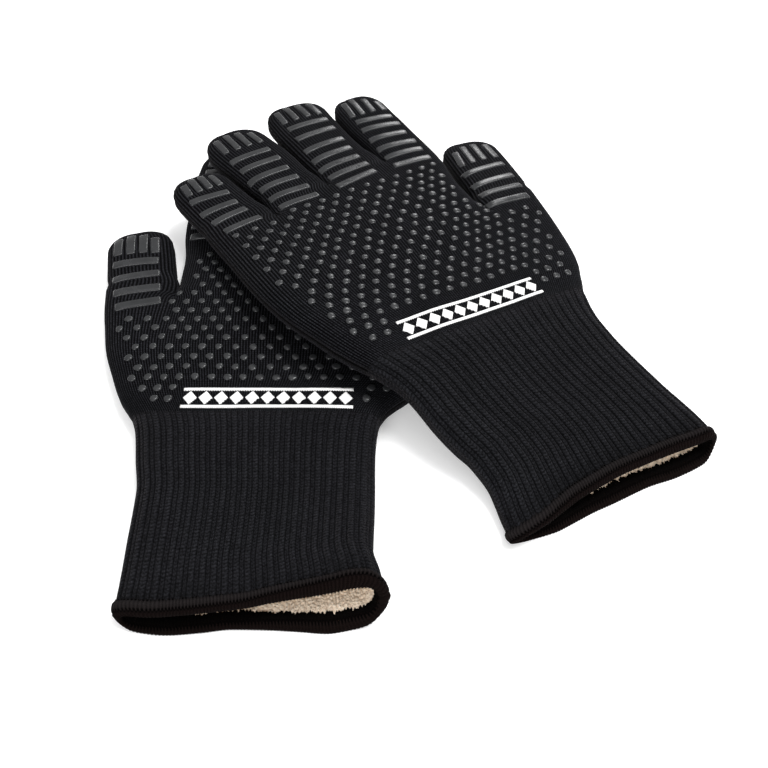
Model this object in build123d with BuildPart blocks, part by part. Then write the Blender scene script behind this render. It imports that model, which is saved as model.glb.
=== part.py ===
from build123d import *
import os
from math import sin, cos, tan, radians, degrees, atan2, hypot

os.makedirs("parts", exist_ok=True)

# ---------------------------------------------------------------------------
# A pair of long-cuffed, double-layer knitted oven and barbecue gloves, palm
# side up. The left-hand glove lies flat on the table and the right-hand glove
# lies across it. Millimetres, +Z up, table at Z = 0.
#
# Each glove is drawn in its own flat frame: u runs from the mouth of the cuff
# towards the fingers and v runs across towards the thumb. place() turns
# (u, v, z) into the common frame.
# ---------------------------------------------------------------------------

# ---- driving dimensions ---------------------------------------------------
ORIGIN_X = 1.01           # shift that puts the origin under the middle of the pair
ORIGIN_Y = -282.74
SHELL = 1.6              # thickness of the outer knit
PLY_GAP = 0.2            # slack between outer knit and lining
LINING = 1.5             # thickness of the lining
HEM_PROUD = 0.7          # how far the overlocked hem stands off the cuff
HEM_WIDTH = 6.0          # length of the hem along the cuff
GRIP_HEIGHT = 1.0        # height of the silicone dots and bars
GRIP_SEAT = 0.05         # grip starts just off the knit
DOT_R = 2.15             # radius of a grip dot
DOT_SEAT = 0.12          # a dot starts this far off the knit
DOT_ROOT = 0.3           # extra seat of a dot on the roots of the fingers
ROOT_FROM = 184.0        # the roots of the fingers start here
BAR_W = 4.2              # width of a grip bar
PRINT_HEIGHT = 0.35      # thickness of the white wrist print
KNUCKLE_GAP = 0.2        # half of the clearance at a bending line
DOT_PITCH_V = 8.6        # dots across
DOT_PITCH_U = 6.35       # rows of dots along

# ---- the two gloves -------------------------------------------------------
# cuff and palm: (u, v towards the little finger, v towards the thumb,
#                 thickness, height of the underside at v = 0, roll in degrees)
LEFT = dict(
    name="left", side=-1, turn=0.0, x=-52.0, y=106.0, mouth=0.0, wrist=84.0,
    cuff=[(0, -52.0, 50.5, 16.0, 0, 0), (14, -51.0, 51.0, 16.0, 0, 0),
          (24, -48.8, 51.2, 15.5, 0, 0), (54, -48.2, 53.0, 15.0, 0, 0),
          (70, -48.2, 56.0, 15.0, 0, 0), (84, -49.5, 59.0, 15.5, 0, 0)],
    palm=[(84, -49.5, 59.0, 15.5, 0, 0), (92, -52.5, 61.0, 15.8, 0, 0),
          (104, -63.5, 62.0, 16.0, 0, 0), (122, -73.0, 60.0, 16.0, 0, 0),
          (150, -80.0, 57.5, 16.0, 0, 0), (190, -85.5, 57.5, 16.0, 0, 0),
          (210, -85.0, 58.0, 11.0, 0, 0)],
    fingers=dict(
        # stations (u, v, half width, half thickness, height of the axis)
        index=dict(hinge=246.0, tip=312.0, dome=15.0, st=[
            (190, 40.5, 17.0, 4.5, 8.0), (208, 42.0, 19.0, 6.5, 7.4), (240, 44.6, 18.6, 6.5, 6.5),
            (250, 45.0, 17.7, 6.5, 6.5), (277, 46.0, 17.6, 6.5, 6.5), (312, 46.0, 17.2, 6.5, 6.5)]),
        middle=dict(hinge=246.0, tip=323.0, dome=16.0, st=[
            (190, 6.0, 17.0, 4.5, 8.0), (208, 6.0, 19.0, 6.5, 7.4), (238, 7.0, 18.8, 6.5, 6.5),
            (249, 7.0, 17.9, 6.5, 6.5), (280, 7.0, 18.0, 6.5, 6.5), (323, 7.0, 17.6, 6.5, 6.5)]),
        ring=dict(hinge=241.0, tip=313.0, dome=15.0, st=[
            (190, -30.5, 17.0, 4.5, 8.0), (208, -30.8, 19.0, 6.5, 7.4), (233, -30.7, 18.7, 6.5, 6.5),
            (245, -30.6, 17.7, 6.5, 6.5), (275, -30.5, 17.7, 6.5, 6.5), (313, -30.5, 17.2, 6.5, 6.5)]),
        little=dict(hinge=229.0, tip=280.0, dome=14.0, st=[
            (190, -66.5, 17.0, 4.5, 8.0), (208, -67.6, 18.6, 6.5, 7.4), (221, -67.8, 18.2, 6.5, 6.5),
            (232, -67.8, 17.2, 6.5, 6.5), (255, -67.6, 17.0, 6.5, 6.5), (280, -67.2, 16.5, 6.5, 6.5)]),
        thumb=dict(hinge=181.0, tip=228.0, dome=15.0, st=[
            (92, 47.0, 12.0, 6.0, 7.6), (105, 54.0, 16.0, 6.9, 7.5), (119, 60.5, 17.2, 7.25, 7.4),
            (136, 67.0, 17.8, 7.25, 7.3), (152, 71.3, 17.6, 7.25, 7.25), (177, 76.4, 17.6, 7.25, 7.25),
            (189, 78.9, 17.6, 7.25, 7.25), (228, 87.2, 17.2, 7.25, 7.25)]),
    ),
    bars=dict(index=[(283, 25), (272, 26), (261, 27), (250.8, 28), (240, 28.5), (230, 29), (220, 29)],
              middle=[(292, 27), (280, 27), (268, 27.5), (256.5, 27.5), (240, 27.5), (229.5, 27.5), (219, 27.5)],
              ring=[(284, 25.5), (272, 26), (260, 26), (249, 26), (234, 26), (222, 26)],
              little=[(256, 23), (245, 23.5), (234, 24), (222, 24)],
              thumb=[(194.6, 24.5), (185.4, 25), (174.6, 25.5), (163.2, 25.5)]),
    print_at=(101.5, 1.0), print_turn=0.0, dots_u=(98.0, 208.0), dots_below_bars=7.0,
)
RIGHT = dict(
    name="right", side=1, turn=30.0, x=98.2, y=167.3, mouth=-3.0, wrist=78.0,
    cuff=[(-3, -54.5, 59.0, 14.5, 0, 0), (8, -53.0, 60.0, 14.5, 0, 0),
          (24, -49.8, 60.8, 14.5, 1.4, 1.2), (42, -54.0, 57.8, 15.0, 4.4, 2.5),
          (56, -57.9, 54.5, 15.0, 7.8, 3.8), (66, -59.4, 53.4, 15.3, 10.4, 4.7),
          (78, -62.5, 55.0, 15.5, 13.2, 5.5)],
    palm=[(78, -62.5, 55.0, 15.5, 13.2, 5.5), (88, -68.0, 56.5, 15.8, 15.0, 5.5),
          (101, -75.0, 56.0, 16.0, 16.0, 5.5), (117, -82.5, 52.5, 16.0, 17.0, 5.5),
          (134, -88.5, 49.5, 16.0, 17.8, 5.0), (154, -92.0, 46.8, 16.0, 18.3, 4.2),
          (182, -93.8, 45.0, 16.0, 18.2, 2.0), (202, -94.0, 47.0, 11.0, 20.2, 1.0)],
    fingers=dict(
        index=dict(hinge=242.6, tip=312.0, dome=16.0, st=[
            (184, 29.0, 15.5, 4.5, 25.8), (203, 33.4, 18.5, 6.75, 25.3), (220, 35.8, 18.4, 6.75, 24.6),
            (234, 37.0, 18.0, 6.75, 24.35), (246, 37.2, 17.4, 6.75, 24.35), (269, 36.8, 18.0, 6.75, 24.35),
            (290, 37.6, 17.8, 6.75, 24.35), (312, 38.0, 17.4, 6.75, 24.35)]),
        middle=dict(hinge=243.4, tip=321.0, dome=16.0, st=[
            (184, -4.0, 17.0, 4.5, 26.4), (203, -2.6, 19.2, 6.75, 25.5), (220, -1.2, 19.1, 6.75, 24.7),
            (236, -0.2, 18.8, 6.75, 24.35), (248, -1.2, 18.2, 6.75, 24.35), (267, -2.0, 18.6, 6.75, 24.35),
            (303, -2.2, 18.8, 6.75, 24.35), (321, -1.6, 18.4, 6.75, 24.35)]),
        ring=dict(hinge=244.2, tip=311.0, dome=16.0, st=[
            (184, -39.5, 17.0, 4.5, 27.2), (203, -38.8, 18.8, 6.75, 25.8), (220, -38.6, 18.6, 6.75, 24.8),
            (231, -39.0, 18.3, 6.75, 24.35), (246, -40.9, 17.6, 6.75, 24.35), (269, -43.2, 17.9, 6.75, 24.35),
            (292, -45.6, 18.6, 6.75, 24.35), (311, -47.2, 18.0, 6.75, 24.35)]),
        little=dict(hinge=228.4, tip=276.0, dome=14.0, st=[
            (184, -73.5, 17.0, 4.5, 28.2), (203, -75.4, 18.4, 6.75, 26.2), (217, -76.8, 18.2, 6.75, 25.0),
            (232, -78.8, 17.2, 6.75, 24.5), (247, -80.6, 17.0, 6.75, 24.35), (260, -82.0, 16.9, 6.75, 24.35),
            (276, -81.6, 16.4, 6.75, 24.35)]),
        thumb=dict(hinge=167.8, tip=239.0, dome=16.0, st=[
            (92, 46.0, 11.5, 6.0, 17.9), (107, 49.9, 16.6, 6.9, 18.8), (118, 53.1, 18.0, 7.0, 19.6),
            (129, 55.8, 18.2, 7.0, 20.3), (143, 59.4, 17.9, 7.0, 21.0), (160, 63.0, 17.0, 7.0, 21.6),
            (172, 65.6, 17.0, 7.0, 21.6), (186, 69.0, 17.6, 7.0, 20.6), (203, 73.5, 17.9, 7.0, 18.6),
            (239, 83.5, 17.4, 7.0, 13.6)]),
    ),
    bars=dict(index=[(272, 24), (262, 25), (250.6, 25), (238.6, 25), (228.6, 25), (217.9, 25)],
              middle=[(287.5, 27.5), (275.2, 27.5), (261, 27.5), (249.8, 27.5), (237.2, 27.5), (228.4, 27.3), (218, 27.3)],
              ring=[(272.4, 25.5), (261.3, 25.5), (249.7, 26), (238.2, 25), (227.8, 25), (217, 24)],
              little=[(246, 23.5), (233.8, 23), (223, 22.5), (212, 22)],
              thumb=[(198.5, 28), (184.8, 28), (173.4, 27.5), (161.8, 27.5)]),
    print_at=(99.5, -7.5), print_turn=0.0, dots_u=(98.0, 206.0), dots_below_bars=7.0,
)
FINGERS = ["thumb", "index", "middle", "ring", "little"]


# ---- placing --------------------------------------------------------------
def place(g, u, v, z):
    """A point of a glove's flat frame in the common frame."""
    x = g["side"] * v
    t = radians(g["turn"])
    return Vector(g["x"] + x * cos(t) - u * sin(t) + ORIGIN_X,
                  g["y"] + x * sin(t) + u * cos(t) + ORIGIN_Y, z)


def heading_vec(g, h):
    """Unit vector that leaves the u direction by h degrees towards the thumb."""
    x, y = g["side"] * sin(radians(h)), cos(radians(h))
    t = radians(g["turn"])
    return Vector(x * cos(t) - y * sin(t), x * sin(t) + y * cos(t), 0)


def section_plane(g, u, v, z, h=0.0, roll=0.0):
    """Upright plane across a tube of glove g, rolled about the tube's axis."""
    d = heading_vec(g, h)
    across = d.cross(Vector(0, 0, 1))
    s = g["side"]
    x_dir = across * cos(radians(roll)) - Vector(0, 0, 1) * (sin(radians(roll)) * s)
    return Plane(origin=place(g, u, v, z), x_dir=x_dir, z_dir=d)


# ---- tubes ----------------------------------------------------------------
def run_on(a, b, length):
    """Row that lies length beyond row a, on the line from b through a."""
    f = length / abs(b[0] - a[0])
    return [p + f * (p - q) for p, q in zip(a, b)]


def flat_tube(g, rows, inset, first=0.0, last=0.0):
    """Flat tube through round-edged slots. first/last lengthen its two ends."""
    rows = [run_on(rows[0], rows[1], first)] + [list(r) for r in rows[1:-1]] \
        + [run_on(rows[-1], rows[-2], last)]
    with BuildPart() as body:
        for u, lo, hi, t, under, roll in rows:
            mid = (lo + hi) / 2
            z = under + t / 2 - mid * tan(radians(roll))
            with BuildSketch(section_plane(g, u, mid, z, 0, roll)):
                SlotOverall((hi - lo) / cos(radians(roll)) - 2 * inset, t - 2 * inset)
        loft(ruled=True)
    return body.part


def lerp_station(st, u):
    """Station of a finger at u; beyond the ends it runs straight on."""
    for a, b in zip(st, st[1:]):
        if u <= b[0] or b is st[-1]:
            f = (u - a[0]) / (b[0] - a[0])
            return [p + f * (q - p) for p, q in zip(a, b)]


def spine_heading(st, u):
    a, b = lerp_station(st, max(st[0][0], u - 6)), lerp_station(st, min(st[-1][0], u + 6))
    return degrees(atan2(b[1] - a[1], b[0] - a[0]))


def finger_tube(g, name, inset, part):
    """Stub of a finger on the palm (part = "stub"), or the finger beyond its
    bending line (part = "finger"), domed at the tip."""
    f = g["fingers"][name]
    st, hinge, tip, dome = f["st"], f["hinge"], f["tip"], f["dome"]
    cut = inset > 0
    rows = []
    if part == "stub":
        us = [s[0] for s in st if s[0] < hinge - 2] + [hinge]
        for u in us:
            rows.append((u, *lerp_station(st, u)[1:], 1.0))
        ends = (0.0, 1.0 if cut else -KNUCKLE_GAP)
    else:
        us = [hinge] + [s[0] for s in st if hinge + 2 < s[0] < tip - dome - 1] + [tip - dome]
        for u in us:
            rows.append((u, *lerp_station(st, u)[1:], 1.0))
        for k in (0.3, 0.52, 0.7, 0.84, 0.935, 0.985):
            u = tip - dome + k * (dome - inset)
            rows.append((u, *lerp_station(st, u)[1:], (1 - k ** 2.3) ** (1 / 2.3)))
        ends = (1.0 if cut else -KNUCKLE_GAP, 0.0)
    h_hinge = spine_heading(st, hinge)
    with BuildPart() as body:
        for i, (u, v, a, b, z, k) in enumerate(rows):
            h = h_hinge if u == hinge else spine_heading(st, u)
            p = section_plane(g, u, v, z, h)
            if i == 0 and ends[0]:
                p = Plane(origin=p.origin - p.z_dir * ends[0], x_dir=p.x_dir, z_dir=p.z_dir)
            if i == len(rows) - 1 and ends[1]:
                p = Plane(origin=p.origin + p.z_dir * ends[1], x_dir=p.x_dir, z_dir=p.z_dir)
            with BuildSketch(p):
                Ellipse((a - inset) * k, (b - inset) * k)
        loft(ruled=True)
    return body.part


def palm_solid(g, inset):
    """Palm tube with the root of the thumb and the stubs of the fingers."""
    cut = inset > 0
    rows = [list(r) for r in g["palm"]]
    rows[-1][0] -= max(inset, 0.0)
    core = flat_tube(g, rows, inset, first=1.0 if cut else -KNUCKLE_GAP)
    stubs = [finger_tube(g, n, inset, "stub") for n in FINGERS]
    with BuildPart() as body:
        add(core)
        for s in stubs:
            add(s)
    return body.part


def hollow(outer, inner, label):
    with BuildPart() as ply:
        add(outer)
        add(inner, mode=Mode.SUBTRACT)
    ply.part.label = label
    return ply


def save(piece, label):
    piece.part.label = label
    export_step(piece.part, f"parts/{label}.step")
    bb = piece.part.bounding_box()
    boxes.append(bb)
    print(f"{label:24s} solids {len(piece.part.solids()):4d}  volume {piece.part.volume:10.1f}")


# ---- silicone -------------------------------------------------------------
def palm_row(g, u):
    rows = g["palm"]
    for a, b in zip(rows, rows[1:]):
        if u <= b[0] or b is rows[-1]:
            f = (u - a[0]) / (b[0] - a[0])
            return [p + f * (q - p) for p, q in zip(a, b)]


def palm_height(g, u, v):
    """Height of the top of the palm, the root of the thumb and the stubs."""
    _, lo, hi, t, under, roll = palm_row(g, min(u, g["palm"][-1][0]))
    z = under + t - v * tan(radians(roll))
    for name in FINGERS:
        st = g["fingers"][name]["st"]
        if u > st[0][0]:
            _, vc, a, b, zc = lerp_station(st, u)
            k = (v - vc) * cos(radians(spine_heading(st, u))) / a
            if abs(k) < 1:
                z = max(z, zc + b * (1 - k * k) ** 0.5) if u < g["palm"][-1][0] else \
                    zc + b * (1 - k * k) ** 0.5
    return z


def prisms_over(g, marks):
    """Upright prisms over plan marks: (kind, u, v, heading, across, along, foot)."""
    with BuildPart() as prisms:
        for kind, u, v, h, a, b, z0 in marks:
            p = place(g, u, v, z0)
            d = heading_vec(g, h)
            with BuildSketch(Plane(origin=p, x_dir=(d.Y, -d.X, 0), z_dir=(0, 0, 1))):
                if kind == "lozenge":
                    Polygon((0, b / 2), (-a / 2, 0), (0, -b / 2), (a / 2, 0))
                else:
                    RectangleRounded(a, b, min(1.0, 0.3 * min(a, b)))
            extrude(amount=14)
    return prisms.part


def printed(skin_top, skin_base, prisms):
    """The part of the prisms between two offset skins of the glove."""
    with BuildPart() as layer:
        add(prisms)
        add(skin_top, mode=Mode.INTERSECT)
        add(skin_base, mode=Mode.SUBTRACT)
    return layer


def bar_marks(g, name, palm_side):
    f = g["fingers"][name]
    st, hinge = f["st"], f["hinge"]
    out = []
    for u, length in g["bars"][name]:
        if (u < hinge) == palm_side:
            _, v, a, b, z = lerp_station(st, u)
            out.append(("bar", u, v, spine_heading(st, u), length, BAR_W, z - 0.5))
    if not palm_side:
        # four lengthwise bars that run over the fingertip
        first = g["bars"][name][0][0]
        u0, u1 = first + 5.5, f["tip"] - 2.5
        um = (u0 + u1) / 2
        _, v, a, b, z = lerp_station(st, um)
        h = spine_heading(st, um)
        foot = lerp_station(st, u1)[4] - 0.5
        for k in (-1.5, -0.5, 0.5, 1.5):
            off = k * a * 0.42
            short = 2.6 if abs(k) > 1 else 0.0
            du, dv = -off * sin(radians(h)), off * cos(radians(h))
            out.append(("bar", um - short / 2 + du, v + dv, h, 3.6, (u1 - u0) - short, foot))
    return out


def dot_spots(g):
    """Staggered field of dots on the palm, clear of bars, edges and print."""
    out = []
    row = 0
    u = g["dots_u"][1]
    th = g["fingers"]["thumb"]["st"]
    while u > g["dots_u"][0] - 0.1:
        _, lo, hi = palm_row(g, min(u, g["palm"][-1][0]))[:3]
        on_lobe = th[0][0] + 6 < u < g["bars"]["thumb"][-1][0] - 4
        if on_lobe:
            s = lerp_station(th, u)
            hi = max(hi, s[1] + s[2] * 0.97)
        n = int(200 / DOT_PITCH_V)
        for i in range(-n, n + 1):
            v = (i + (0.5 if row % 2 else 0.0)) * DOT_PITCH_V
            near_bar = u > g["bars"]["thumb"][-1][0] - 6 and v > hi - 9
            for f in FINGERS[1:]:
                last_bar, length = g["bars"][f][-1]
                vc = lerp_station(g["fingers"][f]["st"], last_bar)[1]
                if u > last_bar - 6.0 and abs(v - vc) < length / 2 + 5:
                    near_bar = True
            u0, v0 = g["print_at"]
            near_print = u < u0 + 10.5 and abs(v - v0) < 44
            if lo + 8.5 < v < hi - 7.0 and not near_bar and not near_print:
                out.append((u, v))
        u -= DOT_PITCH_U
        row += 1
    return out


def print_marks(g):
    """Plain white band over the wrist: a row of lozenges between two lines."""
    u0, v0 = g["print_at"]
    z = palm_height(g, u0, v0) - 5
    out = [("bar", u0 + 5.6, v0, 0, 78.0, 1.4, z), ("bar", u0 - 5.6, v0, 0, 78.0, 1.4, z)]
    for i in range(11):
        out.append(("lozenge", u0, v0 + (i - 5) * 7.1, 0, 6.2, 7.6, z))
    return out


# ---- build ----------------------------------------------------------------
boxes = []
for g in (LEFT, RIGHT):
    n = g["name"]
    d1 = SHELL
    d2 = SHELL + PLY_GAP
    d3 = SHELL + PLY_GAP + LINING

    # outer knit and lining of the palm
    save(hollow(palm_solid(g, 0.0), palm_solid(g, d1), "palm"), f"{n}_palm_shell")
    lin_out = palm_solid(g, d2)
    lin_in = palm_solid(g, d3)
    wr = g["palm"][0]
    with BuildPart() as trim:
        # room inside the glove between the wrist line and the finger lines
        add(palm_solid(g, 0.0))
    with BuildPart() as lining:
        add(lin_out)
        add(lin_in, mode=Mode.SUBTRACT)
        add(trim.part, mode=Mode.INTERSECT)
    save(lining, f"{n}_palm_lining")

    # cuff, its lining and the overlocked hem round the mouth
    rows = [list(r) for r in g["cuff"]]
    hem_end = g["mouth"] + HEM_WIDTH
    a, b = rows[0], rows[1]
    f = HEM_WIDTH / (b[0] - a[0])
    hem_row = [p + f * (q - p) for p, q in zip(a, b)]
    cuff_rows = [hem_row] + rows[1:]
    save(hollow(flat_tube(g, cuff_rows, 0.0, 0.0, -KNUCKLE_GAP),
                flat_tube(g, cuff_rows, d1, 1.0, 1.0), "cuff"), f"{n}_cuff_shell")
    save(hollow(flat_tube(g, cuff_rows, d2, 0.0, -KNUCKLE_GAP),
                flat_tube(g, cuff_rows, d3, 1.0, 1.0), "cuff"), f"{n}_cuff_lining")
    up = [list(rows[0]), list(hem_row)]
    for r in up:
        r[3] += 2 * HEM_PROUD          # the hem is thicker than the cuff but still rests on the table
        r[1] -= HEM_PROUD
        r[2] += HEM_PROUD
    inner = [list(rows[0]), list(hem_row)]
    for r in inner:
        r[4] += HEM_PROUD
    save(hollow(flat_tube(g, up, 0.0, 0.0, -0.05),
                flat_tube(g, inner, d3 - 0.3, 1.0, 1.0), "hem"), f"{n}_hem")

    # fingers
    for name in FINGERS:
        save(hollow(finger_tube(g, name, 0.0, "finger"), finger_tube(g, name, d1, "finger"), name),
             f"{n}_{name}_shell")
        lin = finger_tube(g, name, d2, "finger")
        hole = finger_tube(g, name, d3, "finger")
        keep = finger_tube(g, name, 0.0, "finger")
        with BuildPart() as sleeve:
            add(lin)
            add(hole, mode=Mode.SUBTRACT)
            add(keep, mode=Mode.INTERSECT)
        save(sleeve, f"{n}_{name}_lining")
        grip = printed(finger_tube(g, name, -GRIP_HEIGHT, "finger"),
                       finger_tube(g, name, -GRIP_SEAT, "finger"),
                       prisms_over(g, bar_marks(g, name, False)))
        save(grip, f"{n}_{name}_grip")

    # silicone and print on the palm
    top = palm_solid(g, -GRIP_HEIGHT)
    base = palm_solid(g, -GRIP_SEAT)
    marks = []
    for name in FINGERS:
        marks += bar_marks(g, name, True)
    save(printed(top, base, prisms_over(g, marks)), f"{n}_palm_bars")
    save(printed(palm_solid(g, -PRINT_HEIGHT), base, prisms_over(g, print_marks(g))), f"{n}_wrist_print")

    # round dots, each standing square on the knit
    dots = []
    for u, v in dot_spots(g):
        e = 1.5
        o = place(g, u, v, palm_height(g, u, v))
        a = place(g, u + e, v, palm_height(g, u + e, v)) - place(g, u - e, v, palm_height(g, u - e, v))
        b = place(g, u, v + e, palm_height(g, u, v + e)) - place(g, u, v - e, palm_height(g, u, v - e))
        nrm = a.cross(b).normalized()
        nrm = nrm if nrm.Z > 0 else nrm * -1
        # seated on the highest knit under its rim, and a little higher at a finger root
        rise = 0.0
        for k in range(12):
            ru, rv = u + DOT_R * cos(radians(30 * k)), v + DOT_R * sin(radians(30 * k))
            rise = max(rise, (place(g, ru, rv, palm_height(g, ru, rv)) - o).dot(nrm))
        seat = max(DOT_SEAT, rise + 0.08) + (DOT_ROOT if u > ROOT_FROM else 0.0)
        dots.append(Plane(origin=o + nrm * seat, x_dir=a.normalized(), z_dir=nrm))
    with BuildPart() as field:
        with Locations(*[Location(p) for p in dots]):
            Cylinder(DOT_R, GRIP_HEIGHT - DOT_SEAT, align=(Align.CENTER, Align.CENTER, Align.MIN))
    save(field, f"{n}_palm_dots")

lo = [min(getattr(b.min, k) for b in boxes) for k in "XYZ"]
hi = [max(getattr(b.max, k) for b in boxes) for k in "XYZ"]
print("box low", [round(v, 3) for v in lo], "high", [round(v, 3) for v in hi])
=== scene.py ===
import bpy
import math
import numpy as np
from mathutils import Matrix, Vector
from mathutils.bvhtree import BVHTree

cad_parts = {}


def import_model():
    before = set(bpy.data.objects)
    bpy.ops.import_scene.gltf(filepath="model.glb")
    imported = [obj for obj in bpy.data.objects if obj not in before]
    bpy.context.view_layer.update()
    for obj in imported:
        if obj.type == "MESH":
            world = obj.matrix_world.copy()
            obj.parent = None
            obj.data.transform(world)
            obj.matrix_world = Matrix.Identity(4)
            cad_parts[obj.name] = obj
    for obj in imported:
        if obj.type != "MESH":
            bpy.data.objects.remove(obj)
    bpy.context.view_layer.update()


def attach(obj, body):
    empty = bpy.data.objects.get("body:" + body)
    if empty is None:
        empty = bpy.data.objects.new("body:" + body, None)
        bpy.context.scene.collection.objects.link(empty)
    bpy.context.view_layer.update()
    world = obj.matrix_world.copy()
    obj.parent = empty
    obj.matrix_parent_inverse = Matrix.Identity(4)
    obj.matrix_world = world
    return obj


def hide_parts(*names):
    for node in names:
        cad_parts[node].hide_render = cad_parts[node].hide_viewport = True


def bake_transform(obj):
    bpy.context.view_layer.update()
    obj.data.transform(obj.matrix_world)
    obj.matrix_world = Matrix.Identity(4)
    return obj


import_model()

# ---------------------------------------------------------------------------
# A pair of knitted barbecue gloves. Each glove is drawn in its own flat frame
# in millimetres: u from the mouth of the cuff to the fingertips, v across,
# towards the thumb, z up. world() turns (u, v, z) into the shared frame.
# ---------------------------------------------------------------------------
OX, OY = 1.01, -282.74
FINGERS = ("little", "ring", "middle", "index", "thumb")
WALES = dict(little=23, ring=25, middle=25, index=25, thumb=22)
CPW = 4                     # mesh columns to one wale
NW = 4                      # mesh columns down a side
RIB = 21                    # mesh columns to one rib of the cuff
KMIN = 0.13                 # half thickness left at a side, as a share
FLAT = 3.3                  # how flat-topped a finger is


def pchip(table, x):
    """Smooth curve through a table without overshoot."""
    t = np.array(table, float)
    xs, ys = t[:, 0], t[:, 1]
    x = np.asarray(x, float)
    h = np.diff(xs)
    d = np.diff(ys) / h
    m = np.zeros(len(xs))
    if len(xs) == 2:
        m[:] = d[0]
    else:
        w1, w2 = 2 * h[1:] + h[:-1], h[1:] + 2 * h[:-1]
        same = (d[:-1] * d[1:]) > 0
        with np.errstate(divide="ignore", invalid="ignore"):
            m[1:-1] = np.where(same, (w1 + w2) / (w1 / d[:-1] + w2 / d[1:]), 0)
        m[0], m[-1] = d[0], d[-1]
    i = np.clip(np.searchsorted(xs, x) - 1, 0, len(xs) - 2)
    s = (x - xs[i]) / h[i]
    before, after = x < xs[0], x > xs[-1]
    s = np.clip(s, 0, 1)
    y = ((1 + 2 * s) * (1 - s) ** 2 * ys[i] + s * (1 - s) ** 2 * h[i] * m[i]
         + s * s * (3 - 2 * s) * ys[i + 1] + s * s * (s - 1) * h[i] * m[i + 1])
    y = np.where(before, ys[0] + (x - xs[0]) * m[0], y)
    return np.where(after, ys[-1] + (x - xs[-1]) * m[-1], y)


def step(a, b, x):
    t = np.clip((np.asarray(x, float) - a) / (b - a), 0, 1)
    return t * t * (3 - 2 * t)


def side(x, r, n):
    """Height of a rounded side at distance x in from its edge, from 0 to 1."""
    q = np.clip(1 - np.clip(x, 0, None) / r, 0, 1)
    return (1 - q ** n) ** (1 / n)


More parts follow.
